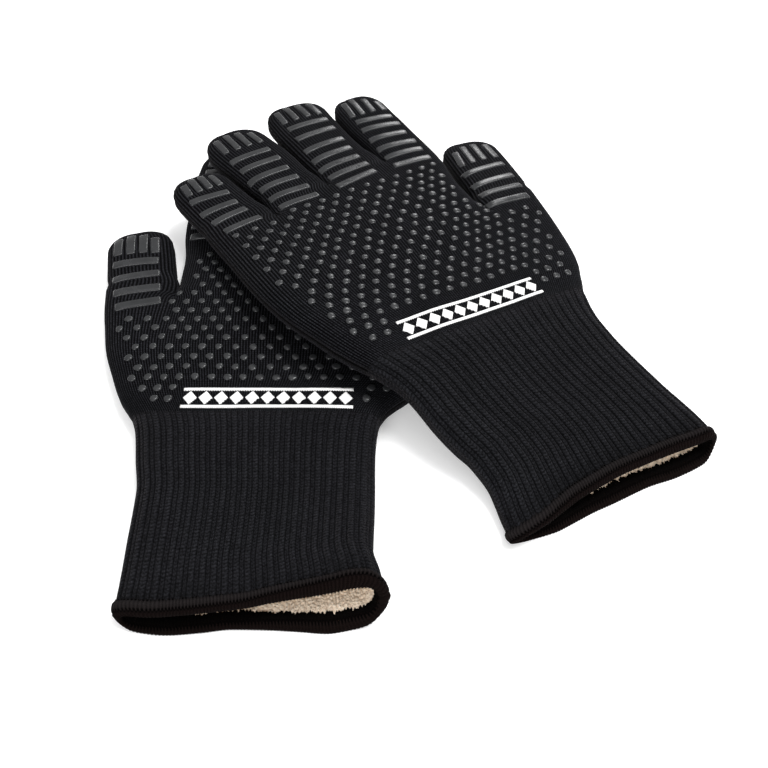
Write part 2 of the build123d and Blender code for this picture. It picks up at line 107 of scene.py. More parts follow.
RIGHT = dict(
    name="right", side=1, turn=30.0, x=98.2, y=167.3, mouth=-3.0, cuff_end=91.0,
    lo=[(-3, -53.0), (6, -51.0), (14, -48.8), (23.4, -47.4), (34.8, -48.6), (42.9, -51.5), (56.1, -55.4),
        (69.6, -58.6), (78, -61.5), (88, -67.2), (101, -74.6), (117, -82), (132, -87.8), (154, -92.1),
        (182, -93.6), (207, -94.8), (232, -96.4), (247, -97.6), (260, -98.6)],
    hi=[(-3, 54.0), (6.3, 54.6), (20, 54.9), (31.6, 54.4), (45.3, 53.2), (60, 51.7), (70, 51.4), (79, 52.5),
        (87, 55.3), (99.5, 62.2), (107, 66.8), (118, 71.2), (130, 74.2), (143, 76.8), (155, 78.9), (167.5, 81.2)],
    inner=[(160, 45.8), (167.5, 46), (174.8, 44.9), (187, 45.0), (201.6, 47.6), (212.7, 50.2), (223.9, 51.2),
           (238, 51.5), (250, 51.8)],
    under=[(-3, 0.3), (10, 0.3), (24, 1.6), (42, 4.6), (56, 8.0), (66, 10.6), (78, 13.4), (88, 15.2), (101, 16.2),
           (117, 17.2), (134, 18.0), (154, 18.5), (182, 18.3), (205, 18.1), (225, 17.9), (245, 17.8)],
    thick=[(-3, 14.0), (24, 14.0), (42, 14.4), (66, 14.8), (88, 15.2), (101, 15.5), (154, 15.6), (182, 15.4),
           (205, 14.6), (225, 13.6), (245, 13.2)],
    roll=[(-3, 0), (10, 0), (24, 1.2), (42, 2.5), (56, 3.8), (66, 4.7), (78, 5.5), (117, 5.5), (134, 5.0),
          (154, 4.2), (182, 2.0), (202, 1.0), (225, 0.2), (245, 0)],
    crotch=dict(thumb=166.5, lr=218.0, rm=230.7, mi=235.2),
    lines=dict(lr=-57.5, rm=-20.3, mi=20.0),
    fingers=dict(
        little=dict(st=[(218, -76.4, 18.9, 25.2), (226, -77.4, 18.3, 24.9), (236, -79.1, 17.7, 24.6), (247, -80.8, 17.3, 24.35),
                        (260, -82.6, 17.0, 24.35), (274, -83.0, 16.4, 24.35)], h=6.6, tip=274.2, dome=16,
                    tips=[(252.3, -92.2, 263.9, -92.2), (253.0, -86.0, 267.4, -86.8), (253.4, -79.8, 267.8, -81.0), (253.9, -73.6, 265.8, -75.4)]),
        ring=dict(st=[(218, -38.9, 18.6, 24.8), (231, -38.9, 18.4, 24.35), (246, -41.0, 18.1, 24.35), (269, -44.2, 18.9, 24.35),
                      (285, -46.8, 19.3, 24.35), (311, -50.2, 18.2, 24.35)], h=6.6, tip=309.6, dome=19.0,
                  tips=[(282.0, -58.4, 298.4, -59.4), (282.0, -50.8, 301.4, -51.9), (282.4, -43.4, 301.2, -44.8), (282.6, -36.0, 297.0, -38.2)]),
        middle=dict(st=[(231, -0.1, 20.0, 24.35), (236, 0.0, 19.3, 24.35), (250, -1.2, 18.7, 24.35), (267, -2.0, 18.9, 24.35),
                        (290, -2.6, 19.6, 24.35), (303, -2.5, 19.6, 24.35), (321, -2.0, 18.8, 24.35)], h=6.6, tip=319.3, dome=18.5,
                    tips=[(294.8, -14.1, 310.0, -13.6), (295.0, -5.9, 312.0, -6.3), (294.8, 2.0, 312.0, 1.2), (294.4, 9.6, 309.6, 8.2)]),
        index=dict(st=[(235, 35.7, 15.9, 24.35), (246, 36.0, 15.8, 24.35), (269, 36.1, 17.0, 24.35),
                       (290, 36.7, 16.6, 24.35), (307, 35.9, 15.9, 24.35)], h=6.6, tip=306.8, dome=19.5,
                   tips=[(280.4, 26.2, 297.5, 28.0), (279.8, 33.0, 299.5, 34.4), (279.6, 40.4, 296.3, 41.8), (278.3, 47.6, 290.5, 47.8)]),
        thumb=dict(st=[(166.5, 63.6, 17.4, 21.6), (172, 65.1, 17.0, 21.4), (186, 68.8, 17.0, 20.6), (203, 73.1, 17.3, 18.6),
                       (220, 77.7, 17.2, 16.2), (239, 82.7, 16.8, 13.6)], h=6.9, tip=239.8, dome=17.5,
                   tips=[(208.3, 61.2, 225.6, 67.4), (208.0, 68.8, 229.0, 74.8), (207.6, 76.4, 228.4, 82.0), (206.4, 84.2, 224.2, 88.0)]),
    ),
    bars=dict(index=[(274.3, 24.5, 270, 48.2), (264.6, 23.4, 260, 48), (252.7, 22.3, 248.9, 46), (241.7, 21.6, 237.2, 45.7),
                     (231.3, 20.9, 227.8, 44.5), (220.4, 20.2, 217.4, 43.7)],
              middle=[(287.4, -15.9, 287.5, 11.5), (274.1, -16.7, 276.5, 10.9), (260, -18, 262.4, 9.6), (248.8, -18.3, 251.3, 8.9),
                      (238.8, -18.7, 240.3, 8.3), (228.7, -17.8, 230.5, 8.9), (217.3, -18.3, 221.3, 8.7)],
              ring=[(271.9, -60.3, 273, -34.5), (260.7, -58.7, 261.8, -33), (249, -59.0, 250.3, -32.8), (238.8, -56.3, 239.6, -31.8),
                    (227.6, -55.5, 228, -30.7), (216.9, -54.1, 217, -30.2)],
              little=[(246.5, -94.6, 245.6, -71.8), (232.7, -93.6, 234.6, -71.4), (221.3, -91.0, 225.2, -69.9), (210.4, -88.3, 213.3, -66.4)],
              thumb=[(199.2, 55.2, 197.9, 83.3), (185.2, 51.9, 183.7, 79.6), (173.8, 49.0, 171.5, 76.0), (163, 45.6, 161, 73.2)]),
    bend=dict(little=(219.5, 238), ring=(232, 257), middle=(236.2, 251.5), index=(236.2, 250), thumb=(167, 184)),
    cuff_bend=(90.5, 66.0), dots=(203.0, 94.0), print_at=(99.5, -7.5),
    top_lift=[(-57, -5.0), (-46, -4.6), (-38, -4.0), (-28, -2.8), (-19, -1.8), (-1, -0.3), (15, 0.7), (32, 1.3), (41, 1.3), (60, 1.0)],
    top_back=[(-57, 1.4), (-46, 1.1), (-38, 1.4), (-28, 2.7), (-19, 3.7), (-1, 3.8), (15, 2.2), (32, 0.0), (41, -1.5), (47, -2.1), (54, -2.2), (62, -2.0)],
    low_lift=[(-57, 0.5), (-48, 0.0), (44, 0.0), (52, 0.8), (62, 2.5)],
    low_back=[(-57, 5.5), (-53, 4.6), (-44, 2.2), (-29, -0.7), (-14, -1.0), (-2, -2.0), (16, -3.2), (32, -6.0), (43, -6.7), (48, -6.5), (52, -5.2), (55, -3.6), (62, -2.0)],
    side_out=[(-57, 0.0), (50, 0.0), (62, 0.6)],
    hem_wide=[(-60, 1.0), (-20, 1.0), (20, 0.85), (44, 0.6), (60, 0.4)],
)
LEFT = dict(
    name="left", side=-1, turn=0.0, x=-52.0, y=106.0, mouth=0.0, cuff_end=94.0,
    lo=[(0, -52.0), (9, -50.2), (22, -47.3), (34, -47.2), (54, -47.4), (69, -47.8), (84, -48.8), (92, -50.4), (98, -53.0), (103, -57.6),
        (108, -63.4), (114, -68.5), (122, -73), (150, -80), (177, -84), (205, -86.5), (229, -87)],
    hi=[(0, 50.2), (9, 51.0), (22, 51.0), (34, 51.0), (54, 52.2), (69, 55.6), (84, 59), (94, 63), (99, 66.5), (105, 71), (119, 78),
        (136, 85), (152, 89), (160, 91), (178, 94.6)],
    inner=[(170, 56.8), (178, 56.6), (190, 57), (205, 58), (225, 61), (243, 62.5)],
    under=[(0, 0.3), (243, 0.3)],
    thick=[(0, 15.2), (24, 14.6), (54, 14.2), (84, 14.8), (104, 15.3), (150, 15.4), (190, 15.2), (210, 14.0), (230, 13.0), (250, 12.7)],
    roll=[(0, 0), (243, 0)],
    crotch=dict(thumb=177.0, lr=225.0, rm=234.0, mi=240.0),
    lines=dict(lr=-48.9, rm=-11.6, mi=26.2),
    fingers=dict(
        little=dict(st=[(225, -67.9, 18.5, 6.6), (232, -67.9, 17.4, 6.6), (255, -67.6, 17.0, 6.6), (280, -67.2, 16.5, 6.6)], h=6.3, tip=280.0, dome=16),
        ring=dict(st=[(225, -30.4, 18.6, 6.6), (234, -30.4, 18.6, 6.6), (245, -30.5, 17.8, 6.6), (275, -30.5, 17.7, 6.6), (313, -30.5, 17.2, 6.6)], h=6.3, tip=313.0, dome=18),
        middle=dict(st=[(234, 7.2, 18.8, 6.6), (240, 7.2, 18.8, 6.6), (249, 7.0, 18.0, 6.6), (280, 7.0, 18.0, 6.6), (323, 7.0, 17.6, 6.6)], h=6.3, tip=323.0, dome=18),
        index=dict(st=[(240, 44.4, 18.0, 6.6), (250, 45.0, 17.8, 6.6), (277, 46.0, 17.6, 6.6), (312, 46.0, 17.2, 6.6)], h=6.3, tip=312.0, dome=18),
        thumb=dict(st=[(177, 75.6, 18.4, 7.3), (184, 77.6, 17.8, 7.3), (199, 81.2, 17.8, 7.3), (217, 85.8, 17.8, 7.3), (228, 89.0, 17.2, 7.3)], h=7.0, tip=228.5, dome=17.5,
                   tips=[(204.8, 73.4, 218.4, 76.4), (204.6, 80.0, 221.0, 83.4), (203.8, 86.8, 220.8, 90.4), (203.2, 93.8, 217.4, 96.6)]),
    ),
    bars=dict(index=[(283, 33.5, 283, 58.5), (272, 33, 272, 59), (261, 32, 261, 59), (250.8, 31, 250.8, 59), (240, 30.5, 240, 58.5), (230, 29.5, 230, 58), (220, 29, 220, 57)],
              middle=[(292, -6.5, 292, 20.5), (280, -6.5, 280, 20.5), (268, -6.7, 268, 20.7), (256.5, -6.7, 256.5, 20.7), (245, -6.7, 245, 20.7), (233.5, -6.7, 233.5, 20.7), (222, -6.7, 222, 20.7)],
              ring=[(284, -43, 284, -18), (272, -43.5, 272, -17.5), (260, -43.5, 260, -17.5), (249, -43.5, 249, -17.5), (237, -43.5, 237, -17.5), (225, -43.5, 225, -17.5)],
              little=[(256, -79, 256, -56), (245, -79.5, 245, -56), (234, -80, 234, -56), (222, -80, 222, -56)],
              thumb=[(198.3, 70.0, 195.0, 94.6), (188.0, 67.4, 182.4, 91.6), (176.3, 64.6, 171.0, 88.3), (166.4, 62.4, 160.4, 84.8)]),
    bend=dict(thumb=(177.6, 194)),
    cuff_bend=(93.5, 74.0), dots=(203.0, 96.0), print_at=(101.5, 1.0),
    top_lift=[(-56, 4.6), (-47, 4.4), (-40, 4.0), (-33, 2.6), (-21, 0.8), (-8, -0.5), (0, -1.5), (10, -2.5), (23, -3.5), (35, -4.6), (46, -5.2), (54, -4.0)],
    top_back=[(-56, 11.4), (-47, 11.2), (-40, 10.9), (-33, 9.8), (-21, 8.0), (-8, 5.8), (0, 4.3), (10, 3.5), (23, 2.5), (35, 2.1), (46, 3.0), (54, 4.0)],
    low_lift=[(-56, 6.0), (-51, 3.4), (-45, 1.2), (-37, 0.0), (40, 0.0), (47, 0.5), (54, 2.0)],
    low_back=[(-56, 6.5), (-50, 3.6), (-45, 1.6), (-40, 0.6), (-30, -0.9), (-20, -0.2), (-7, 0.5), (6, 0.7), (18, -0.6), (31, -1.5), (44, 0.0), (49, 2.0), (54, 5.5)],
    side_out=[(-56, 1.6), (-48, 0.4), (-44, 0.0), (54, 0.0)],
    hem_wide=[(-56, 0.0), (-36, 0.1), (-18, 0.35), (2, 0.7), (24, 0.95), (54, 1.0)],
)
for G in (LEFT, RIGHT):
    for name, f in G["fingers"].items():
        f["c"] = [(s[0], s[1]) for s in f["st"]]
        f["a"] = [(s[0], s[2]) for s in f["st"]]
        f["z"] = [(s[0], s[3]) for s in f["st"]]


def world(g, P):
    """(…, 3) points (u, v, z) of a glove in millimetres to the row frame in metres."""
    x = g["side"] * P[..., 1]
    t = math.radians(g["turn"])
    return np.stack([g["x"] + x * math.cos(t) - P[..., 0] * math.sin(t) + OX,
                     g["y"] + x * math.sin(t) + P[..., 0] * math.cos(t) + OY, P[..., 2]], -1) * 0.001


def wpoint(g, u, v, z):
    return tuple(float(c) for c in world(g, np.array([u, v, z], float)))


# ---- sections -------------------------------------------------------------
def arc_pick(v, z, n):
    """n + 1 points evenly spaced along the line (v, z)."""
    s = np.concatenate([[0], np.cumsum(np.hypot(np.diff(v), np.diff(z)))])
    t = np.linspace(0, s[-1], n + 1)
    return np.interp(t, s, v), np.interp(t, s, z)


def dense(a, b):
    """Points from a to b, close together near both ends."""
    return a + (b - a) * (1 - np.cos(np.linspace(0, math.pi, 121))) / 2


def present(g, u):
    """Fingers that share one tube at u."""
    c = g["crotch"]
    if u <= c["thumb"]:
        return ["little", "ring", "middle", "index", "thumb"]
    if u <= c["lr"]:
        return ["little", "ring", "middle", "index"]
    if u <= c["rm"]:
        return ["ring", "middle", "index"]
    return ["middle", "index"]


def boundaries(g, u, segs):
    """v of each edge and of each line between two fingers, at u."""
    c, ln = g["crotch"], g["lines"]
    lo, hi = float(pchip(g["lo"], u)), float(pchip(g["hi"], min(u, 185)))
    inner = float(pchip(g["inner"], u))
    if segs[0] == "ring":
        f = g["fingers"]["ring"]
        lo = float(pchip(f["c"], u) - pchip(f["a"], u))
        lo = lo + (ln["lr"] - lo) * (1 - float(step(c["lr"], c["lr"] + 8, u)))
    if segs[0] == "middle":
        f = g["fingers"]["middle"]
        lo = float(pchip(f["c"], u) - pchip(f["a"], u))
        lo = lo + (ln["rm"] - lo) * (1 - float(step(c["rm"], c["rm"] + 8, u)))
    right = hi if segs[-1] == "thumb" else inner
    if segs[-1] != "thumb":
        right = inner
    out = [lo]
    total = sum(WALES[s] for s in FINGERS)
    full_lo, full_hi = float(pchip(g["lo"], u)), (hi if u <= c["thumb"] else inner)
    run = 0
    for s in FINGERS[:-1]:
        run += WALES[s]
        if s not in segs or s == segs[-1]:
            continue
        key = {"little": "lr", "ring": "rm", "middle": "mi", "index": "thumb"}[s]
        goal = inner if key == "thumb" else ln[key]
        even = full_lo + (full_hi - full_lo) * run / total
        k = float(step(86, min(c[key], 196) - 8, u))
        out.append(even + (goal - even) * k)
    out.append(right)
    return out


def notch(g, key, u):
    """How far the groove towards a crotch has formed at u, from 0 to 1."""
    c = g["crotch"][key]
    return float(step(c - 13, c, u)) ** 1.6


def section(g, u, inset=0.0, cols=CPW):
    """One ring of the shared tube at u: (n, 3) points, closed, starting at the little-finger edge on top."""
    segs = present(g, u)
    b = boundaries(g, u, segs)
    c = g["crotch"]
    b = list(b)
    b[0] += inset
    b[-1] -= inset
    h = float(pchip(g["thick"], u)) / 2 - inset
    tan = math.tan(math.radians(float(pchip(g["roll"], u))))
    mid = float(pchip(g["under"], u)) + float(pchip(g["thick"], u)) / 2
    keys = {("little", "ring"): "lr", ("ring", "middle"): "rm", ("middle", "index"): "mi", ("index", "thumb"): "thumb"}
    tops, bots = [], []
    for i, s in enumerate(segs):
        bl, br = b[i], b[i + 1]
        a = max((br - bl) / 2, 1.0)
        v = dense(bl, br)
        K = np.ones_like(v)
        for edge, x, j in (("l", v - bl, i - 1), ("r", br - v, i + 1)):
            if 0 <= j < len(segs):
                pair = (segs[j], s) if edge == "l" else (s, segs[j])
                w = notch(g, keys[pair], u)
                K = K * (1 + (side(x, a, FLAT) - 1) * w)
            else:
                # an outer side: wide and soft on the palm, round on a finger
                if s in ("little", "ring"):
                    w = float(step(c["lr"] - 40, c["lr"], u))
                elif s == "middle":
                    w = 1.0
                elif s == "thumb":
                    w = float(step(c["thumb"] - 40, c["thumb"], u))
                else:
                    w = float(step(c["mi"] - 40, c["mi"], u))
                soft = 9 - 1.7 * min(max(inset, 0.0), 3.4) + 6 * float(step(g["mouth"], g["mouth"] + 34, u))
                r = soft + (a - soft) * w
                n = 2.2 + 0.3 * float(step(g["mouth"], g["mouth"] + 34, u))
                n = n + (FLAT - n) * w
                K = K * side(x, r, n)
        K = np.maximum(K, KMIN)
        zm = mid - v * tan
        n = WALES[s] * cols
        tops.append(arc_pick(v, zm + h * K, n))
        bots.append(arc_pick(v, zm - h * K ** 0.75, n))
    tv = np.concatenate([t[0][:-1] for t in tops] + [tops[-1][0][-1:]])
    tz = np.concatenate([t[1][:-1] for t in tops] + [tops[-1][1][-1:]])
    bv = np.concatenate([t[0][:-1] for t in bots] + [bots[-1][0][-1:]])
    bz = np.concatenate([t[1][:-1] for t in bots] + [bots[-1][1][-1:]])
    return ring_of(u, tv, tz, bv, bz)


def ring_of(u, tv, tz, bv, bz):
    k = np.linspace(0, 1, NW + 1)[1:-1]
    # fuller sides: the wall bows out a little
    bow = 0.35 * np.sin(math.pi * k)
    wr = (tv[-1] + (bv[-1] - tv[-1]) * k + bow, tz[-1] + (bz[-1] - tz[-1]) * k)
    wl = (bv[0] + (tv[0] - bv[0]) * k - bow, bz[0] + (tz[0] - bz[0]) * k)
    v = np.concatenate([tv, wr[0], bv[::-1], wl[0]])
    z = np.concatenate([tz, wr[1], bz[::-1], wl[1]])
    return np.stack([np.full_like(v, u), v, z], 1)


def finger_rows(g, name, inset=0.0, cols=CPW, pitch=1.3):
    """Rings of one finger from its crotch to its tip."""
    f = g["fingers"][name]
    c = g["crotch"]
    start = {"little": c["lr"], "ring": c["rm"], "middle": c["mi"], "index": c["mi"], "thumb": c["thumb"]}[name]
    # the ring that the shared tube has at the start
    segs = {"little": ["little", "ring", "middle", "index"], "ring": ["ring", "middle", "index"],
            "middle": ["middle", "index"], "index": ["middle", "index"],
            "thumb": ["little", "ring", "middle", "index", "thumb"]}[name]
    b = boundaries(g, start, segs)
    i = segs.index(name)
    L0, R0 = b[i], b[i + 1]
    mid0 = (L0 + R0) / 2
    a0 = (R0 - L0) / 2
    roll0 = math.tan(math.radians(float(pchip(g["roll"], start))))
    h0 = float(pchip(g["thick"], start)) / 2
    z0 = float(pchip(g["under"], start)) + h0
    us = list(np.arange(start, f["tip"] - f["dome"], pitch))
    us.append(f["tip"] - f["dome"])
    ks = np.sin(np.linspace(0, math.pi / 2, 21))[1:]
    tip_in = inset
    us = us + [f["tip"] - f["dome"] + k * (f["dome"] - tip_in) for k in ks]
    n = WALES[name] * cols
    rings = []
    span = 14.0
    for u in us:
        w = float(step(start, start + span, u))
        cen = mid0 + (float(pchip(f["c"], u)) - mid0) * w
        a = a0 + (float(pchip(f["a"], u)) - a0) * w
        zc = (z0 - cen * roll0) * (1 - w) + float(pchip(f["z"], u)) * w
        h = h0 + (f["h"] - h0) * w
        tan = roll0 * (1 - w)
        du = 3.0
        slope = (float(pchip(f["c"], u + du)) - float(pchip(f["c"], u - du))) / (2 * du)
        psi = math.atan(slope) * float(step(start, start + 26, u))
        k = 1.0
        if u > f["tip"] - f["dome"]:
            q = min((u - (f["tip"] - f["dome"])) / (f["dome"] - tip_in), 1.0)
            k = max((1 - q ** 2.25), 0.0) ** (1 / 2.25)
        A = max((a - inset) * k, 0.02)
        H = max((h - inset) * k ** 0.9, 0.02)
        x = dense(-A, A)
        K = np.maximum(side(x + A, A, FLAT) * side(A - x, A, FLAT), KMIN)
        tx, tz = arc_pick(x, zc - x * tan + H * K, n)
        bx, bz = arc_pick(x, zc - x * tan - H * K ** 0.75, n)
        r = ring_of(0.0, tx, tz, bx, bz)
        if k < 1:
            r[:, 1] = np.clip(r[:, 1], -A - 0.35 * k, A + 0.35 * k)
        off = r[:, 1].copy()
        r[:, 0] = u - off * math.sin(psi)
        r[:, 1] = cen + off * math.cos(psi)
        rings.append(r)
    return np.array(rings), start


def mouth_warp(g, P):
    """Opens the mouth of the cuff: the top layer stands up and draws back."""
    u, v, z = P[..., 0], P[..., 1], P[..., 2]
    m = g["mouth"]
    under = pchip(g["under"], np.maximum(u, m))
    t = np.clip((z - under) / pchip(g["thick"], np.maximum(u, m)), 0, 1.2)
    near = 1 - step(m + 5, m + 50, u)
    near_u = 1 - step(m + 7, m + 62, u)
    Q = P.copy()
    Q[..., 2] = z + (t * pchip(g["top_lift"], v) + (1 - t) * pchip(g["low_lift"], v)) * near
    Q[..., 0] = u + (t * pchip(g["top_back"], v) + (1 - t) * pchip(g["low_back"], v)) * near_u
    Q[..., 1] = v + np.sign(v) * pchip(g["side_out"], v) * 4 * np.clip(t * (1 - t), 0, 0.25) * near ** 2
    return Q


def sway(P, seed, amount):
    """Slow unevenness of cloth: a sum of long waves."""
    rng = np.random.RandomState(seed)
    out = np.zeros(P.shape[:-1])
    for i in range(14):
        wl = rng.uniform(22, 90)
        th = rng.uniform(0, 2 * math.pi)
        k = 2 * math.pi / wl
        out += (wl / 90) ** 0.8 * np.sin(k * (P[..., 0] * math.cos(th) + P[..., 1] * math.sin(th)) + P[..., 2] * 0.05 + rng.uniform(0, 6.28))
    return amount * out / 3.0


def unevenness(g, P):
    return sway(P, 3 if g is LEFT else 8, 0.45)


def normals_of(P):
    """Normals of a grid that closes on itself along its second axis."""
    du = np.gradient(P, axis=0)
    dc = np.roll(P, -1, 1) - np.roll(P, 1, 1)
    n = np.cross(du, dc)
    n /= np.maximum(np.linalg.norm(n, axis=-1, keepdims=True), 1e-9)
    return n


def outward(P, n):
    """Turns the normals of a closed tube outwards."""
    c = P.mean(axis=1, keepdims=True)
    return n * (1 if (n * (P - c)).sum() > 0 else -1)


# ---- meshes ---------------------------------------------------------------
def build(name, verts, quads, uvs=None, mat=None, tris=None, extra=None):
    """Mesh object from numpy arrays. uvs is one (u, v) per face corner."""
    me = bpy.data.meshes.new(name)
    nt = 0 if tris is None else len(tris)
    loops = quads.size + (0 if tris is None else tris.size)
    me.vertices.add(len(verts))
    me.vertices.foreach_set("co", np.asarray(verts, np.float32).ravel())
    me.loops.add(loops)
    idx = quads.ravel() if tris is None else np.concatenate([quads.ravel(), tris.ravel()])
    me.loops.foreach_set("vertex_index", idx.astype(np.int32))
    me.polygons.add(len(quads) + nt)
    starts = np.arange(len(quads)) * 4
    if nt:
        starts = np.concatenate([starts, quads.size + np.arange(nt) * 3])
    me.polygons.foreach_set("loop_start", starts.astype(np.int32))
    me.polygons.foreach_set("use_smooth", np.ones(len(quads) + nt, bool))
    if uvs is not None:
        layer = me.uv_layers.new(name="knit")
        layer.data.foreach_set("uv", np.asarray(uvs, np.float32).ravel())
    me.update(calc_edges=True)
    me.validate()
    ob = bpy.data.objects.new(name, me)
    bpy.context.collection.objects.link(ob)
    if mat is not None:
        me.materials.append(mat)
    return ob


def grid_faces(rows, cols, closed=True, base=0, flip=False):
    r = np.arange(rows - 1)[:, None]
    c = np.arange(cols if closed else cols - 1)[None, :]
    a = base + r * cols + c
    b = base + r * cols + (c + 1) % cols
    q = np.stack([a, b, b + cols, a + cols], -1).reshape(-1, 4)
    return q[:, ::-1] if flip else q


class Cloth:
    """Collects tube grids into one mesh."""

    def __init__(self):
        self.v, self.q, self.t, self.uvq, self.uvt, self.n = [], [], [], [], [], 0

    def tube(self, g, P, U, V, flip, cap=False):
        """P (rows, cols, 3) in glove millimetres; U (cols + 1) and V (rows) are the knit coordinates."""
        rows, cols = P.shape[:2]
        W = world(g, P).reshape(-1, 3)
        q = grid_faces(rows, cols, True, self.n, flip)
        r = np.repeat(np.arange(rows - 1), cols)
        c = np.tile(np.arange(cols), rows - 1)
        corner = np.stack([np.stack([U[c], V[r]], -1), np.stack([U[c + 1], V[r]], -1),
                           np.stack([U[c + 1], V[r + 1]], -1), np.stack([U[c], V[r + 1]], -1)], 1)
        if flip:
            corner = corner[:, ::-1]
        self.v.append(W)
        self.q.append(q)
        self.uvq.append(corner)
        self.n += rows * cols
        if cap:
            centre = W[-cols:].mean(0, keepdims=True)
            self.v.append(centre)
            a = self.n - cols + np.arange(cols)
            b = self.n - cols + (np.arange(cols) + 1) % cols
            t = np.stack([a, b, np.full(cols, self.n)], -1)
            cc = np.arange(cols)
            uv = np.stack([np.stack([U[cc], np.full(cols, V[-1])], -1), np.stack([U[cc + 1], np.full(cols, V[-1])], -1),
                           np.stack([U[cc], np.full(cols, V[-1] + 0.2)], -1)], 1)
            if flip:
                t, uv = t[:, ::-1], uv[:, ::-1]
            self.t.append(t)
            self.uvt.append(uv)
            self.n += 1

    def make(self, name, mat, weld=True):
        v = np.concatenate(self.v)
        q = np.concatenate(self.q)
        uv = np.concatenate([u.reshape(-1, 2) for u in self.uvq] + [u.reshape(-1, 2) for u in self.uvt])
        t = np.concatenate(self.t) if self.t else None
        if weld:
            key = np.round(v * 1e6).astype(np.int64)
            _, first, inv = np.unique(key, axis=0, return_index=True, return_inverse=True)
            inv = inv.ravel()
            v = v[first]
            q = inv[q]
            if t is not None:
                t = inv[t]
            good = np.array([True] * len(q))
            good &= (q[:, 0] != q[:, 1]) & (q[:, 1] != q[:, 2]) & (q[:, 2] != q[:, 3]) & (q[:, 3] != q[:, 0])
            if not good.all():
                uvq = uv[:4 * len(q)].reshape(-1, 4, 2)[good].reshape(-1, 2)
                uv = np.concatenate([uvq, uv[4 * len(q):]])
                q = q[good]
        return build(name, v, q, uv, mat, t)


def knit_u(cols_top, scale=1.0, first=0):
    """Knit coordinate of every column boundary round a ring, cols + 1 values."""
    top = np.arange(cols_top + 1) / CPW + first
    wall = np.linspace(0, 1, NW + 1)[1:-1]
    right = top[-1] + wall
    bottom = top[::-1] + 0.0
    left = top[0] - 1 + wall[::-1] * 0
    u = np.concatenate([top, right, bottom, left, [top[0]]])
    return u * scale


def join(D, first, last, last_first):
    """Starts a tube on the very points where the one before it ends."""
    T, L = (D.shape[1] - 2 * (NW - 1)) // 2 - 1, (len(last) - 2 * (NW - 1)) // 2 - 1
    o = (first - last_first) * CPW
    c = np.arange(T + 1)
    old = D[0].copy()
    D[0, c] = last[c + o]
    D[0, T + 1 + NW - 1 + T - c] = last[L + 1 + NW - 1 + L - (c + o)]
    for i in range(1, NW):
        k = i / NW
        if o + T == L:
            D[0, T + i] = last[L + i]
        else:
            D[0, T + i] = D[0, T] * (1 - k) + D[0, T + NW] * k
        j = 2 * (T + 1) + NW - 1 + i - 1
        if o == 0:
            D[0, j] = last[2 * (L + 1) + NW - 1 + i - 1]
        else:
            D[0, j] = D[0, T + 1 + NW - 1 + T] * (1 - k) + D[0, 0] * k
    # the next rows ease into it
    for r in range(1, 4):
        D[r] += (D[0] - old) * (1 - r / 4) ** 2


def rib_height(cols_top, first, kind):
    """Height of the ribs at every column of a ring, from -1 to 1."""
    k = np.arange(cols_top + 1) + first * CPW
    if kind == "fine":
        top = np.array([-1.0, 0.35, 1.0, 0.35])[k % CPW]
    else:
        p = ((k % RIB) + 0.5) / RIB
        main = 1 - np.clip(np.abs((p - 0.29) / 0.29), 0, 1) ** 3.2
        low = 0.40 * (1 - np.clip(np.abs((p - 0.79) / 0.19), 0, 1) ** 2.8)
        top = -1 + 2.0 * np.where(p < 0.58, main, low)
    wall = np.zeros(NW - 1)
    return np.concatenate([top, wall, top[::-1], wall])


def rib_fade(cols_top, count):
    """Ribs fade out where a side turns in, within count columns of an edge."""
    k = np.arange(cols_top + 1)
    top = np.clip(np.minimum(k, cols_top - k) / count, 0, 1)
    return np.concatenate([top, np.zeros(NW - 1), top[::-1], np.zeros(NW - 1)])


def displaced(g, P, first, V):
    """Adds ribs and slow unevenness to a base grid."""
    cols_top = (P.shape[1] - 2 * (NW - 1)) // 2 - 1
    n = outward(P, normals_of(P))
    u = P[..., 0]
    end = g["print_at"][0]
    cuff = 1 - step(end - 17, end - 7.5, u)
    fine = step(end - 10, end - 4, u)
    fade = rib_fade(cols_top, 1)
    m = g["mouth"]
    close = step(m + 4, m + 16, u) * 0.35 + 0.65
    d = (0.58 * cuff * close) * (rib_height(cols_top, first, "wide") * fade)[None, :]
    d = d + 0.46 * fine * (rib_height(cols_top, first, "fine") * fade)[None, :]
    lift = unevenness(g, P)
    low = np.clip((P[..., 2] - pchip(g["under"], u)) / 5.0, 0, 1)
    d = d + lift * low
    return P + n * d[..., None]


# ---- materials ------------------------------------------------------------
def new_mat(name):
    m = bpy.data.materials.new(name)
    m.use_nodes = True
    nt = m.node_tree
    for n in list(nt.nodes):
        nt.nodes.remove(n)
    out = nt.nodes.new("ShaderNodeOutputMaterial")
    bsdf = nt.nodes.new("ShaderNodeBsdfPrincipled")
    nt.links.new(bsdf.outputs[0], out.inputs[0])
    return m, nt, bsdf


def math_node(nt, op, a, b=None, clamp=False):
    n = nt.nodes.new("ShaderNodeMath")
    n.operation = op
    n.use_clamp = clamp
    for i, x in enumerate((a, b)):
        if x is None:
            continue
        if isinstance(x, (int, float)):
            n.inputs[i].default_value = x
        else:
            nt.links.new(x, n.inputs[i])
    return n.outputs[0]


def noise_node(nt, vec, scale, detail=3.0, rough=0.55):
    n = nt.nodes.new("ShaderNodeTexNoise")
    n.inputs["Scale"].default_value = scale
    n.inputs["Detail"].default_value = detail
    n.inputs["Roughness"].default_value = rough
    nt.links.new(vec, n.inputs["Vector"])
    return n.outputs["Fac"]


def ramp_node(nt, fac, stops):
    n = nt.nodes.new("ShaderNodeValToRGB")
    e = n.color_ramp.elements
    e[0].position, e[0].color = stops[0][0], (*stops[0][1], 1)
    e[1].position, e[1].color = stops[-1][0], (*stops[-1][1], 1)
    for p, c in stops[1:-1]:
        x = e.new(p)
        x.color = (*c, 1)
    nt.links.new(fac, n.inputs[0])
    return n.outputs[0]


